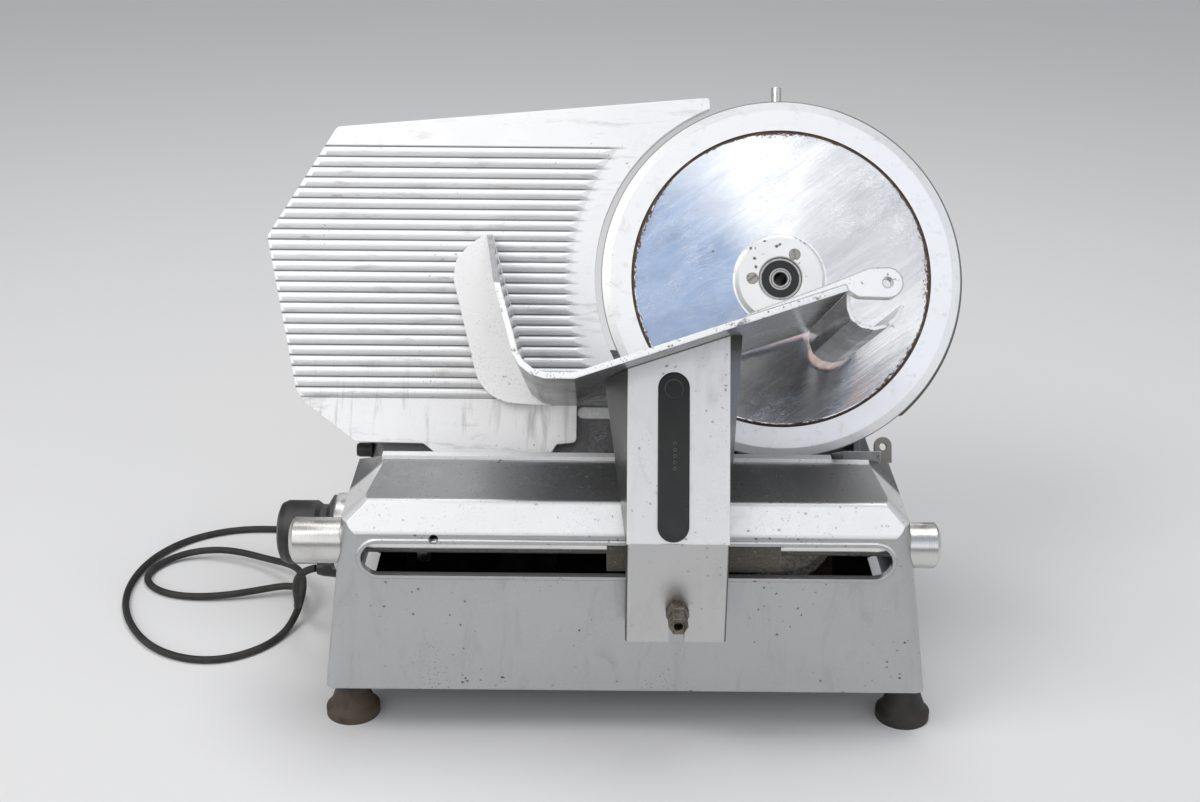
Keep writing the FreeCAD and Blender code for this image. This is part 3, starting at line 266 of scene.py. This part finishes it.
def satin_casting(name, tint, roughness=0.36, grime=0.5, rust=0.0, spots=1.0, metallic=0.9,
                  edge=(0.80, 0.80, 0.80), edge_wear_and_shadow=0.35, edge_reach=0.001, slope_highlight_and_deck_shade=0.0,
                  painted_side_shade=0.0):
    """Satin cast aluminium: grain, smears, scuffs, black chips and stains.

    `slope_highlight_and_deck_shade` paints a highlight on the faces that slope up to the front, paints shade
    on the deck behind the ridge and turns on pale worn flakes on the top faces.
    `painted_side_shade` paints shade on the faces that look to the side, and a little on those that
    stand upright. `edge` colours the edges: pale wear by default, a painted shadow outline where it is given
    dark."""
    s = Surface(name)
    v = s.place()
    broad = s.noise(v, 7.0, 5.0, 0.6)
    fine = s.noise(v, 260.0, 4.0, 0.6)
    smear = s.noise(s.place(stretch=(2.6, 2.6, 0.7)), 17.0, 7.0, 0.68, 0.8)
    lines = s.scratches(v, 30.0, 0.010)
    dark_lines = s.scratches(v, 22.0, 0.006, (1.2, 0.9, -0.4))
    dirt = s.times(s.span(smear, 0.54, 0.80), grime)
    color = s.mix(broad, [c * 0.90 for c in tint], tint)
    color = s.mix(s.times(dirt, 0.5), color, (0.20, 0.185, 0.16))
    across, _, upward = s.facing()
    # painted shade: faces looking to the side are darkened, and upright faces a little
    side_shade = s.times(s.most(s.span(s.math("ABSOLUTE", across), 0.45, 0.75),
                              s.times(s.span(upward, 0.35, 0.15), 0.22)), painted_side_shade)
    deep = s.parts(v)[1]
    tilted = s.within(upward, 0.30, 0.80, 0.12)
    # painted highlight: faces sloping up in front of the ridge turn pale and less shiny
    slope = s.times(tilted, s.span(deep, RIDGE_Y, RIDGE_Y - 0.004), slope_highlight_and_deck_shade)
    if slope_highlight_and_deck_shade:
        # painted shade on the deck behind the ridge
        shaded = s.times(tilted, s.span(deep, RIDGE_Y, RIDGE_Y + 0.004))
        color = s.mix(shaded, color, [c * 0.30 for c in tint])
        flakes = s.times(s.specks(v, 60.0, 0.16, 0.24, 13.0, 0.55), s.span(upward, 0.90, 0.97))
        color = s.mix(s.times(flakes, 0.5), color, (0.80, 0.78, 0.74))
    # painted side shade
    color = s.mix(side_shade, color, [c * 0.22 for c in tint])
    color = s.mix(slope, color, (0.97, 0.97, 0.97))
    # pale worn edges; where the edge colour is dark, as on the tab, it is a painted shadow outline
    color = s.mix(s.times(s.edges(edge_reach), edge_wear_and_shadow), color, edge)
    chips = s.most(s.specks(v, 120.0, 0.08, 0.17, 16.0, 0.48),
                   s.specks(v, 60.0, 0.05, 0.09, 9.0, 0.47),
                   s.times(s.specks(v, 280.0, 0.10, 0.22, 11.0, 0.53), 0.8))
    chips = s.times(chips, spots, s.span(slope, 0.0, 1.0, 1.0, 0.45))
    color = s.mix(s.times(chips, 0.9), color, DARK_SPOT)
    color = s.mix(s.times(dark_lines, 0.35 * spots), color, (0.10, 0.09, 0.08))
    color = s.mix(s.times(lines, 0.25), color, (0.85, 0.85, 0.85))
    if rust:
        patch = s.span(s.noise(v, 34.0, 8.0, 0.72), 0.5, 0.66)
        color = s.mix(s.times(patch, rust), color, RUST)
    rough = s.plus(s.span(broad, 0.2, 0.8, roughness - 0.05, roughness + 0.07), s.times(dirt, 0.25))
    rough = s.plus(rough, s.times(chips, 0.4))
    rough = s.less(rough, s.times(lines, 0.10))
    height = s.plus(s.times(fine, 0.22), s.times(broad, 0.2))
    height = s.plus(height, s.times(s.most(lines, dark_lines, chips), -0.35))
    s.relief(height, 0.16, 0.0006)
    shine = s.math("SUBTRACT", metallic, s.times(slope, 0.45))
    return s.finish(color, rough, s.math("SUBTRACT", shine, s.times(chips, 0.8), clamp=True))


def turned_metal(name, tint, centre, axis_turn, roughness=0.3, grime=0.3, metallic=1.0, chips_and_dark_edges=0.0):
    """Lathe-turned metal: fine rings about an axis."""
    s = Surface(name)
    x, y, z = s.parts(s.place(centre, axis_turn))
    rings = s.noise(s.join(s.radius(x, y), z, 0.0), 2600.0, 2.0, 0.7)
    v = s.place()
    broad = s.noise(v, 30.0, 5.0, 0.6)
    dirt = s.times(s.span(broad, 0.5, 0.75), grime)
    color = s.mix(rings, [c * 0.82 for c in tint], tint)
    color = s.mix(dirt, color, (0.25, 0.2, 0.16))
    color = s.mix(s.times(s.specks(v, 190.0, 0.05, 0.16, 30.0, 0.55), 0.8), color, DARK_SPOT)
    if chips_and_dark_edges:
        chips = s.specks(v, 120.0, 0.16, 0.24, 34.0, 0.52)
        color = s.mix(s.times(chips, chips_and_dark_edges), color, DARK_SPOT)
        # edges are painted dark, a dark outline along them
        color = s.mix(s.times(s.edges(), 0.5 * chips_and_dark_edges), color, (0.12, 0.11, 0.10))
    rough = s.span(rings, 0.3, 0.7, roughness - 0.08, roughness + 0.12)
    s.relief(rings, 0.10, 0.0003)
    return s.finish(color, rough, metallic, Anisotropic=0.4)


def plastic(name, tint, roughness=0.45, dust=0.25, edge=0.3):
    """Dark moulded plastic: fine texture, greasy patches, dust, scuffs and a painted highlight along the
    edges.
    """
    s = Surface(name)
    v = s.place()
    fine = s.noise(v, 900.0, 3.0, 0.5)
    broad = s.noise(v, 18.0, 6.0, 0.6)
    lines = s.scratches(v, 40.0, 0.008)
    color = s.mix(s.times(s.span(broad, 0.5, 0.75), dust), tint, (0.24, 0.225, 0.20))
    color = s.mix(s.times(lines, 0.18), color, (0.32, 0.32, 0.32))
    # painted highlight: edges are lightened
    color = s.mix(s.times(s.edges(), edge), color, (0.20, 0.20, 0.20))
    rough = s.span(broad, 0.3, 0.7, roughness - 0.08, roughness + 0.12)
    s.relief(s.plus(s.times(fine, 0.6), s.times(lines, -0.4)), 0.15, 0.0003)
    return s.finish(color, rough)


def polished_sheet(name, tint, roughness=0.1, front=None):
    """Polished sheet: long polish lines, haze and pits, with painted shade on undersides; the cut front edge
    is pale, with chips.
    """
    s = Surface(name)
    v = s.place()
    brush = s.noise(s.place(stretch=(1.0, 40.0, 40.0)), 10.0, 4.0, 0.6)
    haze = s.noise(v, 16.0, 6.0, 0.65)
    lines = s.scratches(v, 30.0, 0.010)
    spots = s.specks(v, 170.0, 0.05, 0.18, 22.0, 0.56)
    color = s.mix(s.span(haze, 0.35, 0.75), tint, [c * 0.86 for c in tint])
    color = s.mix(s.times(spots, 0.7), color, (0.10, 0.085, 0.07))
    # undersides are painted darker as painted shade, and are made rougher and less shiny
    below = s.span(s.facing()[2], -0.15, -0.5)
    color = s.mix(below, color, [c * 0.45 for c in tint])
    rough = s.plus(s.span(haze, 0.3, 0.8, roughness * 0.6, roughness * 1.7 + 0.03),
                   s.times(lines, 0.15))
    rough = s.plus(rough, s.times(below, 0.14))
    metallic = s.span(below, 0.0, 1.0, 1.0, 0.6)
    height = s.plus(s.times(brush, 0.5), s.times(lines, -0.4))
    if front is not None:
        out = s.parts(s.blade_place())[2]
        # the cut edge is only as wide as the sheet is thick
        lip = s.span(out, front - 0.0014, front - 0.0009)
        pits = s.most(s.specks(v, 210.0, 0.10, 0.26, 40.0, 0.50),
                      s.specks(v, 420.0, 0.12, 0.3, 60.0, 0.52))
        worn = s.span(s.noise(v, 90.0, 6.0, 0.7), 0.60, 0.68)
        color = s.mix(lip, color, (0.90, 0.90, 0.89))
        color = s.mix(s.times(lip, s.most(pits, s.times(worn, 0.7))), color, (0.09, 0.07, 0.055))
        rough = s.plus(s.times(rough, s.span(lip, 0.0, 1.0, 1.0, 0.0)), s.times(lip, 0.42))
        height = s.plus(height, s.times(lip, pits, -1.5))
    rough = s.plus(rough, s.times(spots, 0.3))
    s.relief(height, 0.10, 0.0004)
    return s.finish(color, rough, metallic, Anisotropic=0.3,
                    Specular_IOR_Level=s.span(below, 0.0, 1.0, 0.5, 0.3))


def rough_iron(name, tint, rust=0.6, speckle=0.0):
    """Rough casting: brown patches, dark pits and pale worn grains."""
    s = Surface(name)
    v = s.place()
    broad = s.noise(v, 24.0, 8.0, 0.7)
    fine = s.noise(v, 300.0, 4.0, 0.6)
    color = s.mix(s.times(s.span(broad, 0.42, 0.62), rust), tint, RUST)
    color = s.mix(s.span(fine, 0.42, 0.7, 0.0, 0.6), color, (0.05, 0.04, 0.033))
    if speckle:
        grains = s.span(s.noise(v, 420.0, 3.0, 0.7), 0.58, 0.66)
        color = s.mix(s.times(grains, speckle), color, (0.55, 0.51, 0.46))
    s.relief(s.plus(s.times(broad, 0.8), s.times(fine, 0.5)), 0.5, 0.0012)
    return s.finish(color, s.span(broad, 0.3, 0.7, 0.45, 0.75), 0.5)


def blade_steel():
    """Hollow ground blade: pale bevel, satin ring, brown groove with chips, polished dish and a thin painted
    line of shade round the edge.
    """
    s = Surface("blade_steel")
    v = s.blade_place()
    x, y, _ = s.parts(v)
    radius = s.radius(x, y)
    bevel = s.span(radius, BEVEL_RADIUS - BLUR, BEVEL_RADIUS + BLUR)
    dish = s.span(radius, GROOVE_INNER + 0.001, GROOVE_INNER)
    angle = s.math("ARCTAN2", y, x)
    polish = s.noise(s.blade_place(-0.62, (1.0, 16.0, 1.0)), 13.0, 6.0, 0.62, 0.25)
    haze = s.noise(s.blade_place(-0.62, (1.0, 3.0, 1.0)), 11.0, 5.0, 0.6, 0.8)
    fine_polish = s.noise(s.blade_place(-0.62, (1.0, 50.0, 1.0)), 34.0, 3.0, 0.6)
    turning = s.noise(s.join(s.times(angle, 0.25), s.times(radius, 90.0), 0.0), 9.0, 4.0, 0.6)
    marks = s.scratches(v, 34.0, 0.007, (0.6, -0.3, 1.1))
    polished = s.mix(s.span(haze, 0.4, 0.7), (0.80, 0.81, 0.83), (0.62, 0.64, 0.67))
    color = s.mix(dish, (0.96, 0.96, 0.96), polished)
    color = s.mix(bevel, color, s.mix(turning, (0.74, 0.74, 0.73), (0.92, 0.92, 0.92)))
    # brown groove: a thin line with ragged chips eating inwards from it
    ragged = s.noise(s.join(s.times(angle, 15.0), s.times(radius, 260.0), 0.0), 2.2, 8.0, 0.75)
    reach = s.span(s.noise(v, 13.0, 3.0, 0.6), 0.35, 0.65, GROOVE_INNER, GROOVE_INNER - 0.0085)
    line = s.within(radius, GROOVE_INNER, GROOVE_OUTER, BLUR)
    near = s.span(radius, reach, GROOVE_OUTER - 0.001)
    bite = s.times(s.span(s.plus(ragged, s.times(near, 0.25)), 0.63, 0.66), s.span(near, 0.0, 0.03),
                   s.span(radius, GROOVE_OUTER + BLUR, GROOVE_OUTER - BLUR))
    groove = s.most(s.times(line, s.span(ragged, 0.30, 0.40, 0.55, 1.0)), bite)
    grime = s.mix(s.span(ragged, 0.45, 0.65), (0.035, 0.024, 0.018), (0.15, 0.075, 0.03))
    color = s.mix(groove, color, grime)
    mottle = s.times(s.span(s.noise(v, 70.0, 9.0, 0.75, 0.6), 0.54, 0.72),
                     s.span(dish, 1.0, 0.0, 0.0, 0.35))
    color = s.mix(mottle, color, (0.42, 0.38, 0.33))
    # painted shade: a thin dark line round the very edge of the blade
    rim_shade = s.span(radius, EDGE_RADIUS - 0.0012, EDGE_RADIUS - 0.0006)
    color = s.mix(s.times(rim_shade, 0.85), color, (0.10, 0.095, 0.09))
    rim_pits = s.times(s.within(radius, EDGE_RADIUS - 0.012, EDGE_RADIUS - 0.006, 0.001),
                       s.specks(v, 330.0, 0.1, 0.26, 14.0, 0.54))
    spots = s.most(s.specks(v, 75.0, 0.05, 0.12, 11.0, 0.58), s.times(rim_pits, 0.9))
    color = s.mix(s.times(spots, 0.85), color, (0.11, 0.075, 0.045))
    rough = s.plus(s.times(dish, s.span(polish, 0.3, 0.7, 0.10, 0.20)),
                   s.span(dish, 0.0, 1.0, 0.36, 0.0))
    rough = s.plus(rough, s.times(s.most(groove, spots), 0.4))
    rough = s.plus(rough, s.times(marks, 0.1))
    height = s.plus(s.times(polish, s.times(dish, 0.9)), s.times(fine_polish, dish, 0.25))
    height = s.plus(height, s.times(turning, s.span(dish, 0.0, 1.0, 0.35, 0.02)))
    height = s.plus(height, s.times(s.most(groove, marks), -0.5))
    s.relief(height, 0.16, 0.0006, rounded=False)
    metallic = s.less(s.span(dish, 0.0, 1.0, 0.6, 1.0), s.times(groove, 0.9))
    return s.finish(color, rough, metallic, Anisotropic=0.2)


def ribbed_plate():
    """Pale plate: painted shadow in the grooves between the ribs and painted shade under each rib, scuffs on
    them and drips below.
    """
    s = Surface("ribbed_plate")
    v = s.blade_place()
    x, y, _ = s.parts(v)
    broad = s.noise(v, 8.0, 6.0, 0.6)
    smear = s.noise(s.blade_place(0, (1.0, 5.0, 1.0)), 15.0, 7.0, 0.66, 0.4)
    fine = s.noise(v, 500.0, 2.0, 0.5)
    drips = s.noise(s.blade_place(0, (9.0, 0.9, 1.0)), 11.0, 6.0, 0.66, 0.5)
    # how far each place is below the groove above it, as a part of the pitch; a metre is added to
    # keep the count of ribs positive, and its own part of a pitch is taken out again
    steps = s.math("DIVIDE", s.math("SUBTRACT", RIB_TOP + RIB_PITCH / 2 + 1.0, y), RIB_PITCH)
    across = s.math("FRACT", s.plus(steps, (1.0 - (1.0 / RIB_PITCH) % 1.0)))
    # painted shadow: a dark line along each groove, strongest on its lower side
    groove_shadow = s.most(s.span(across, 0.17, 0.08), s.times(s.span(across, 0.86, 0.97), 0.55))
    under = s.span(across, 0.62, 0.95)
    lowest = RIB_TOP - (RIB_COUNT - 0.5) * RIB_PITCH
    field = s.times(s.within(y, lowest - 0.0004, RIB_TOP + RIB_PITCH * 0.62, 0.0003),
                    s.span(s.radius(x, y), 0.196, 0.212))
    groove_shadow = s.times(groove_shadow, field)
    color = s.mix(broad, (0.88, 0.88, 0.885), (0.97, 0.97, 0.97))
    stains = s.times(s.span(smear, 0.56, 0.76), 0.65)
    color = s.mix(stains, color, (0.40, 0.375, 0.34))
    below = s.times(s.span(y, lowest + 0.05, lowest - 0.01), s.span(drips, 0.54, 0.72))
    color = s.mix(s.times(below, 0.7), color, (0.36, 0.345, 0.325))
    # painted shade on the lower part of each rib
    color = s.mix(s.times(under, field, 0.12), color, (0.42, 0.42, 0.42))
    # painted shadow lines in the grooves
    color = s.mix(s.times(groove_shadow, 0.94), color, (0.055, 0.062, 0.068))
    lines = s.scratches(v, 26.0, 0.006, (0.1, 0.7, 1.9))
    marks = s.most(s.specks(v, 150.0, 0.05, 0.16, 14.0, 0.57), s.specks(v, 55.0, 0.04, 0.1, 8.0, 0.56))
    color = s.mix(s.times(marks, 0.8), color, (0.13, 0.105, 0.08))
    smudges = s.specks(s.blade_place(0, (0.4, 1.0, 1.0)), 80.0, 0.14, 0.26, 19.0, 0.56)
    color = s.mix(s.times(smudges, field, 0.6), color, (0.33, 0.29, 0.23))
    color = s.mix(s.times(lines, 0.4), color, (0.35, 0.35, 0.35))
    rough = s.plus(s.span(broad, 0.3, 0.7, 0.34, 0.46), s.times(s.most(stains, groove_shadow), 0.3))
    s.relief(s.plus(s.times(fine, 0.4), s.times(s.most(lines, marks), -0.6)), 0.12, 0.0003)
    return s.finish(color, rough, s.span(groove_shadow, 0.0, 1.0, 0.28, 0.0))


def bearing_metal():
    """Ball bearing seen end on: ground rings with a black sealing ring between them; the bore and thin lines
    at the rings' edges are painted black as painted shade.
    """
    s = Surface("bearing")
    x, y, z = s.parts(s.blade_place())
    radius = s.radius(x, y)
    rings = s.noise(s.join(radius, z, 0.0), 2200.0, 2.0, 0.7)
    # painted shade in the bore and at the gaps round the rings, together with the real black sealing ring
    seal_and_gap_shade = s.most(s.within(radius, SEAL_INNER, SEAL_OUTER, BLUR),
                  s.span(radius, BORE_RADIUS + BLUR, BORE_RADIUS - BLUR),
                  s.within(radius, BEARING_RADIUS - 2 * BLUR, BEARING_RADIUS + 2 * BLUR, BLUR),
                  s.within(radius, RING_GAP - BLUR, RING_GAP + BLUR, BLUR))
    grease = s.noise(s.place(), 240.0, 5.0, 0.7)
    color = s.mix(rings, (0.28, 0.275, 0.26), (0.66, 0.65, 0.63))
    color = s.mix(s.span(grease, 0.52, 0.7, 0.0, 0.7), color, (0.10, 0.085, 0.07))
    color = s.mix(seal_and_gap_shade, color, (0.012, 0.012, 0.012))
    s.relief(rings, 0.15, 0.0003, rounded=False)
    return s.finish(color, s.span(seal_and_gap_shade, 0.0, 1.0, 0.28, 0.5), s.span(seal_and_gap_shade, 0.0, 1.0, 1.0, 0.0))


def rusty_fitting():
    """Plated fitting gone brown, bright only where it is handled."""
    s = Surface("rusty_fitting")
    v = s.place()
    broad = s.noise(v, 110.0, 7.0, 0.7)
    fine = s.noise(v, 700.0, 4.0, 0.7)
    color = s.mix(s.span(broad, 0.38, 0.6), (0.24, 0.215, 0.18), (0.085, 0.062, 0.042))
    color = s.mix(s.span(fine, 0.5, 0.7), color, (0.035, 0.026, 0.02))
    color = s.mix(s.times(s.edges(), 0.5), color, (0.62, 0.57, 0.50))
    s.relief(s.plus(broad, s.times(fine, 0.6)), 0.45, 0.0006)
    return s.finish(color, s.span(broad, 0.3, 0.7, 0.3, 0.6), 0.8)


def dusty_rubber(name, rusty=0.0):
    """Black rubber, dusty and stained brown towards the floor."""
    s = Surface(name)
    v = s.place()
    broad = s.noise(v, 40.0, 6.0, 0.6)
    fine = s.noise(v, 600.0, 3.0, 0.6)
    color = s.mix(s.span(broad, 0.45, 0.75, 0.0, 0.4), (0.018, 0.017, 0.016), (0.12, 0.105, 0.09))
    if rusty:
        x, _, z = s.parts(v)
        # the stain fades up the foot, and towards the cleaner right-hand feet
        upward = s.span(z, FOOT_NECK, FOOT_SOLE, 0.45, 1.0)
        stain = s.times(upward, s.span(broad, 0.30, 0.52), s.span(x, 0.4, 0.1, 0.05, 1.0))
        color = s.mix(s.times(stain, rusty), color, (0.085, 0.058, 0.038))
    s.relief(s.plus(s.times(fine, 0.5), s.times(broad, 0.5)), 0.35, 0.0006)
    return s.finish(color, s.span(broad, 0.3, 0.7, 0.5, 0.8))


# where the axes of the rod's caps and of the knob run, both along X
CAP_AXIS = Vector((0.0, -0.173, 0.182)) + SHIFT
KNOB_AXIS = Vector((0.0, -0.112, 0.158)) + SHIFT
ABOUT_X = (0, math.pi / 2, 0)

# the shell carries a painted highlight on its front slope and painted shade on its deck
SHELL = satin_casting("shell", (0.50, 0.505, 0.51), 0.33, 0.55, slope_highlight_and_deck_shade=0.85)
ARM = satin_casting("arm", (0.69, 0.69, 0.69), 0.30, 0.35, spots=0.5, painted_side_shade=1.0)
CAST = satin_casting("raw_cast", (0.40, 0.385, 0.36), 0.5, 1.0, 0.35)
DIRTY = satin_casting("dirty_block", (0.105, 0.092, 0.076), 0.55, 1.0, 0.4, metallic=0.3)
LUG = satin_casting("dirty_lug", (0.26, 0.245, 0.22), 0.5, 1.0, 0.4, metallic=0.6)
# the guard ring is coloured dark grey as painted shade for the gap round the blade, with some dirt and rust
GUARD_RING_SHADE = satin_casting("ring", (0.15, 0.147, 0.142), 0.45, 0.6, 0.2, metallic=0.6)
PALE = satin_casting("pale", (0.96, 0.96, 0.96), 0.28, 0.2, spots=0.6, metallic=0.45)
RAIL = satin_casting("rail", (0.98, 0.98, 0.98), 0.3, 0.15, spots=0.5, metallic=0.1)
TABLE = polished_sheet("table", (0.44, 0.44, 0.45), 0.09, TABLE_FRONT)
# the tab's dark edge colour is a painted shadow outline along its edges
TAB = satin_casting("tab", (0.97, 0.97, 0.97), 0.28, 0.15, metallic=0.35,
                     edge=(0.04, 0.036, 0.032), edge_wear_and_shadow=0.95, edge_reach=0.0024)
GUTTER = polished_sheet("gutter", (0.36, 0.35, 0.34), 0.14, GUTTER_FRONT)
STAINLESS = polished_sheet("stainless", (0.66, 0.66, 0.66), 0.22)
ROD = polished_sheet("rod", (0.82, 0.81, 0.79), 0.14)
CHROME = polished_sheet("plated", (0.62, 0.61, 0.59), 0.16)
TURNED_CAP = turned_metal("turned_cap", (0.72, 0.715, 0.70), CAP_AXIS, ABOUT_X)
INDEX = turned_metal("turned_index", (0.80, 0.80, 0.80), KNOB_AXIS, ABOUT_X)
TURNED_HUB = turned_metal("turned_hub", (0.97, 0.97, 0.96), HUB, BLADE_TURN, 0.34, 0.06, 0.4, 0.9)
SCREWS = turned_metal("screws", (0.42, 0.40, 0.36), HUB, BLADE_TURN, 0.35, 0.8, chips_and_dark_edges=1.0)
BEARING = bearing_metal()
STEEL = turned_metal("steel", (0.58, 0.57, 0.56), HUB, BLADE_TURN, 0.3)
BRONZE = turned_metal("bronze", (0.55, 0.38, 0.18), HUB, ABOUT_X)
BLACK = plastic("black_plastic", (0.014, 0.014, 0.015), 0.40)
CHARCOAL = plastic("charcoal_plastic", (0.013, 0.0135, 0.014), 0.6, dust=0.04, edge=0.9)
IRON = rough_iron("iron", (0.2, 0.18, 0.16))
# the motor's pale tint is painted light, lifting it out of the shade inside the base; the pale grains are
# its own
LIT_MOTOR_IRON = rough_iron("motor_iron", (0.80, 0.74, 0.66), 0.25, 0.8)
FITTING = rusty_fitting()
RUBBER = dusty_rubber("foot_rubber", 0.95)
LEAD = dusty_rubber("lead_rubber")
BLADE = blade_steel()
RIBBED = ribbed_plate()

# which nodes take each finish
FINISHES = {
    SHELL: ["base_housing", "tower", "rear_housing"],
    ARM: ["carriage_column"],
    CAST: ["gauge_carrier", "pulley_hub"],
    LUG: ["guard_lug"],
    GUARD_RING_SHADE: ["guard_ring"],
    DIRTY: ["carriage_block"],
    PALE: ["hand_guard_flange", "rear_rail"],
    RAIL: ["top_rail"],
    TABLE: ["meat_table"],
    TAB: ["table_tab"],
    GUTTER: ["table_gutter"],
    STAINLESS: ["slice_tray", "slice_deflector"],
    ROD: ["carriage_rod", "guide_bar", "gauge_guide_rod"],
    CHROME: ["sharpener_post"],
    TURNED_CAP: ["rod_cap_left", "rod_cap_right"],
    INDEX: ["index_ring"],
    TURNED_HUB: ["blade_boss"],
    SCREWS: ["hub_screws"],
    BEARING: ["bearing_outer_rings", "bearing_inner_rings", "blade_axle"],
    STEEL: ["foot_screws", "cover_screws", "roller_pin", "thickness_shaft", "thickness_cam",
            "axle_nut", "motor_pulley", "motor_shaft"],
    BRONZE: ["carriage_bushes", "gauge_guide_bush"],
    BLACK: ["bottom_cover", "guide_roller", "thickness_knob", "switch_panel", "switch_button",
            "electrical_box", "cable_gland", "mains_plug"],
    CHARCOAL: ["grip_insert"],
    IRON: ["blade_pulley", "motor_bracket", "guide_bar_brackets"],
    LIT_MOTOR_IRON: ["motor_body"],
    FITTING: ["hex_standoff"],
    RUBBER: ["feet"],
    LEAD: ["drive_belt", "power_cable"],
    BLADE: ["blade"],
    RIBBED: ["gauge_plate"],
}
for finish, labels in FINISHES.items():
    for label in labels:
        mesh = NODES[label].data
        mesh.materials.clear()
        mesh.materials.append(finish)


# ---------------------------------------------------------------- floor, light, camera
def sheet_mesh(name, corners):
    """One flat face as an object of the scene."""
    mesh = bpy.data.meshes.new(name)
    mesh.from_pydata(corners, [], [tuple(range(len(corners)))])
    made = bpy.data.objects.new(name, mesh)
    bpy.context.scene.collection.objects.link(made)
    return made


FLOOR_REACH, FLOOR_BACK = 14, 16
floor = sheet_mesh("floor", [(-FLOOR_REACH, -FLOOR_REACH, 0), (FLOOR_REACH, -FLOOR_REACH, 0),
                             (FLOOR_REACH, FLOOR_BACK, 0), (-FLOOR_REACH, FLOOR_BACK, 0)])
ground = Surface("floor_paper")
ground_tone = ground.noise(ground.place(), 2.0, 3.0)
floor.data.materials.append(ground.finish(
    ground.mix(ground_tone, (0.80, 0.80, 0.80), (0.82, 0.82, 0.82)), 0.8))


def lamp(name, place, aim, size, power, tint=(1, 1, 1)):
    """Rectangular lamp that looks at a point."""
    light = bpy.data.lights.new(name, "AREA")
    light.shape = "RECTANGLE"
    light.size, light.size_y = size
    light.energy = power
    light.color = tint
    holder = bpy.data.objects.new(name, light)
    holder.location = place
    holder.rotation_euler = (Vector(aim) - Vector(place)).to_track_quat("-Z", "Y").to_euler()
    bpy.context.scene.collection.objects.link(holder)
    return holder


AIM = Vector((0.25, 0.2, 0.2))
lamp("key", (-1.3, -0.9, 2.5), AIM, (1.4, 1.2), 26, (1.0, 0.99, 0.97))
lamp("top", (0.5, 0.5, 2.7), AIM, (2.0, 1.2), 26)


class Sky(Nodes):
    """Studio surroundings: soft patches of light placed by direction."""

    def __init__(self, world):
        super().__init__(world.node_tree)
        self.back = self.tree.nodes["Background"]
        self.towards = self.coords.outputs["Generated"]

    def patch(self, turn, rise, inner, outer):
        """Round patch of directions, soft between two angles off its middle (degrees)."""
        turn, rise = math.radians(turn), math.radians(rise)
        middle = (math.sin(turn) * math.cos(rise), -math.cos(turn) * math.cos(rise), math.sin(rise))
        dot = self.node("ShaderNodeVectorMath", operation="DOT_PRODUCT")
        self.link(self.towards, dot.inputs[0])
        dot.inputs[1].default_value = middle
        return self.span(dot.outputs["Value"], math.cos(math.radians(outer)), math.cos(math.radians(inner)))


world = bpy.data.worlds.new("studio")
bpy.context.scene.world = world
world.use_nodes = True
sky = Sky(world)
x, y, z = sky.parts(sky.towards)
front = sky.span(y, -0.15, -0.65)
soft_box = sky.times(front, sky.within(z, 0.27, 0.67, 0.05))
tone = sky.mix(sky.span(z, 0.1, 0.95), (0.10, 0.10, 0.105), (0.34, 0.34, 0.35))
tone = sky.mix(sky.times(sky.span(y, 0.0, 0.7), 0.6), tone, (0.07, 0.07, 0.072))
flank = sky.times(sky.span(sky.math("ABSOLUTE", x), 0.6, 0.95), sky.within(z, 0.0, 0.7, 0.1))
tone = sky.mix(sky.times(flank, 0.7), tone, (0.80, 0.80, 0.82))
tone = sky.mix(soft_box, tone, (1.6, 1.6, 1.6))
tone = sky.mix(sky.times(sky.patch(-6, 31, 6, 12), 0.9), tone, (0.70, 0.70, 0.73))
tone = sky.mix(sky.times(sky.patch(26, 35, 9, 15), 0.85), tone, (0.26, 0.42, 0.72))
tone = sky.mix(sky.times(sky.patch(8, 60, 5, 12), 0.8), tone, (0.42, 0.50, 0.68))
tone = sky.mix(sky.times(sky.patch(4, 48.5, 1.5, 3.5), 0.9), tone, (1.05, 0.50, 0.30))
# what the camera sees past the floor is the same plain grey as its far end
seen = sky.node("ShaderNodeLightPath").outputs["Is Camera Ray"]
tone = sky.mix(seen, tone, (0.40, 0.40, 0.41))
sky.link(tone, sky.back.inputs["Color"])
sky.back.inputs["Strength"].default_value = 1.0

camera = bpy.data.objects.new("camera", bpy.data.cameras.new("camera"))
bpy.context.scene.collection.objects.link(camera)
# the camera's place in the machine's own frame, its downward tilt and its small roll
CAMERA = Vector((-0.022, -1.462, 0.863))
PITCH, ROLL = math.radians(23.0), math.radians(0.5)
look = Vector((0, math.cos(PITCH), -math.sin(PITCH)))
rise = Vector((0, math.sin(PITCH), math.cos(PITCH)))
level = Vector((1, 0, 0))
right = level * math.cos(ROLL) + rise * math.sin(ROLL)
over = rise * math.cos(ROLL) - level * math.sin(ROLL)
turn = Matrix((right, over, -look)).transposed()
camera.matrix_world = Matrix.Translation(CAMERA + SHIFT) @ turn.to_4x4()
camera.data.lens = 50.0
camera.data.sensor_width = 36.0
bpy.context.scene.camera = camera
bpy.context.scene.view_settings.view_transform = "Standard"
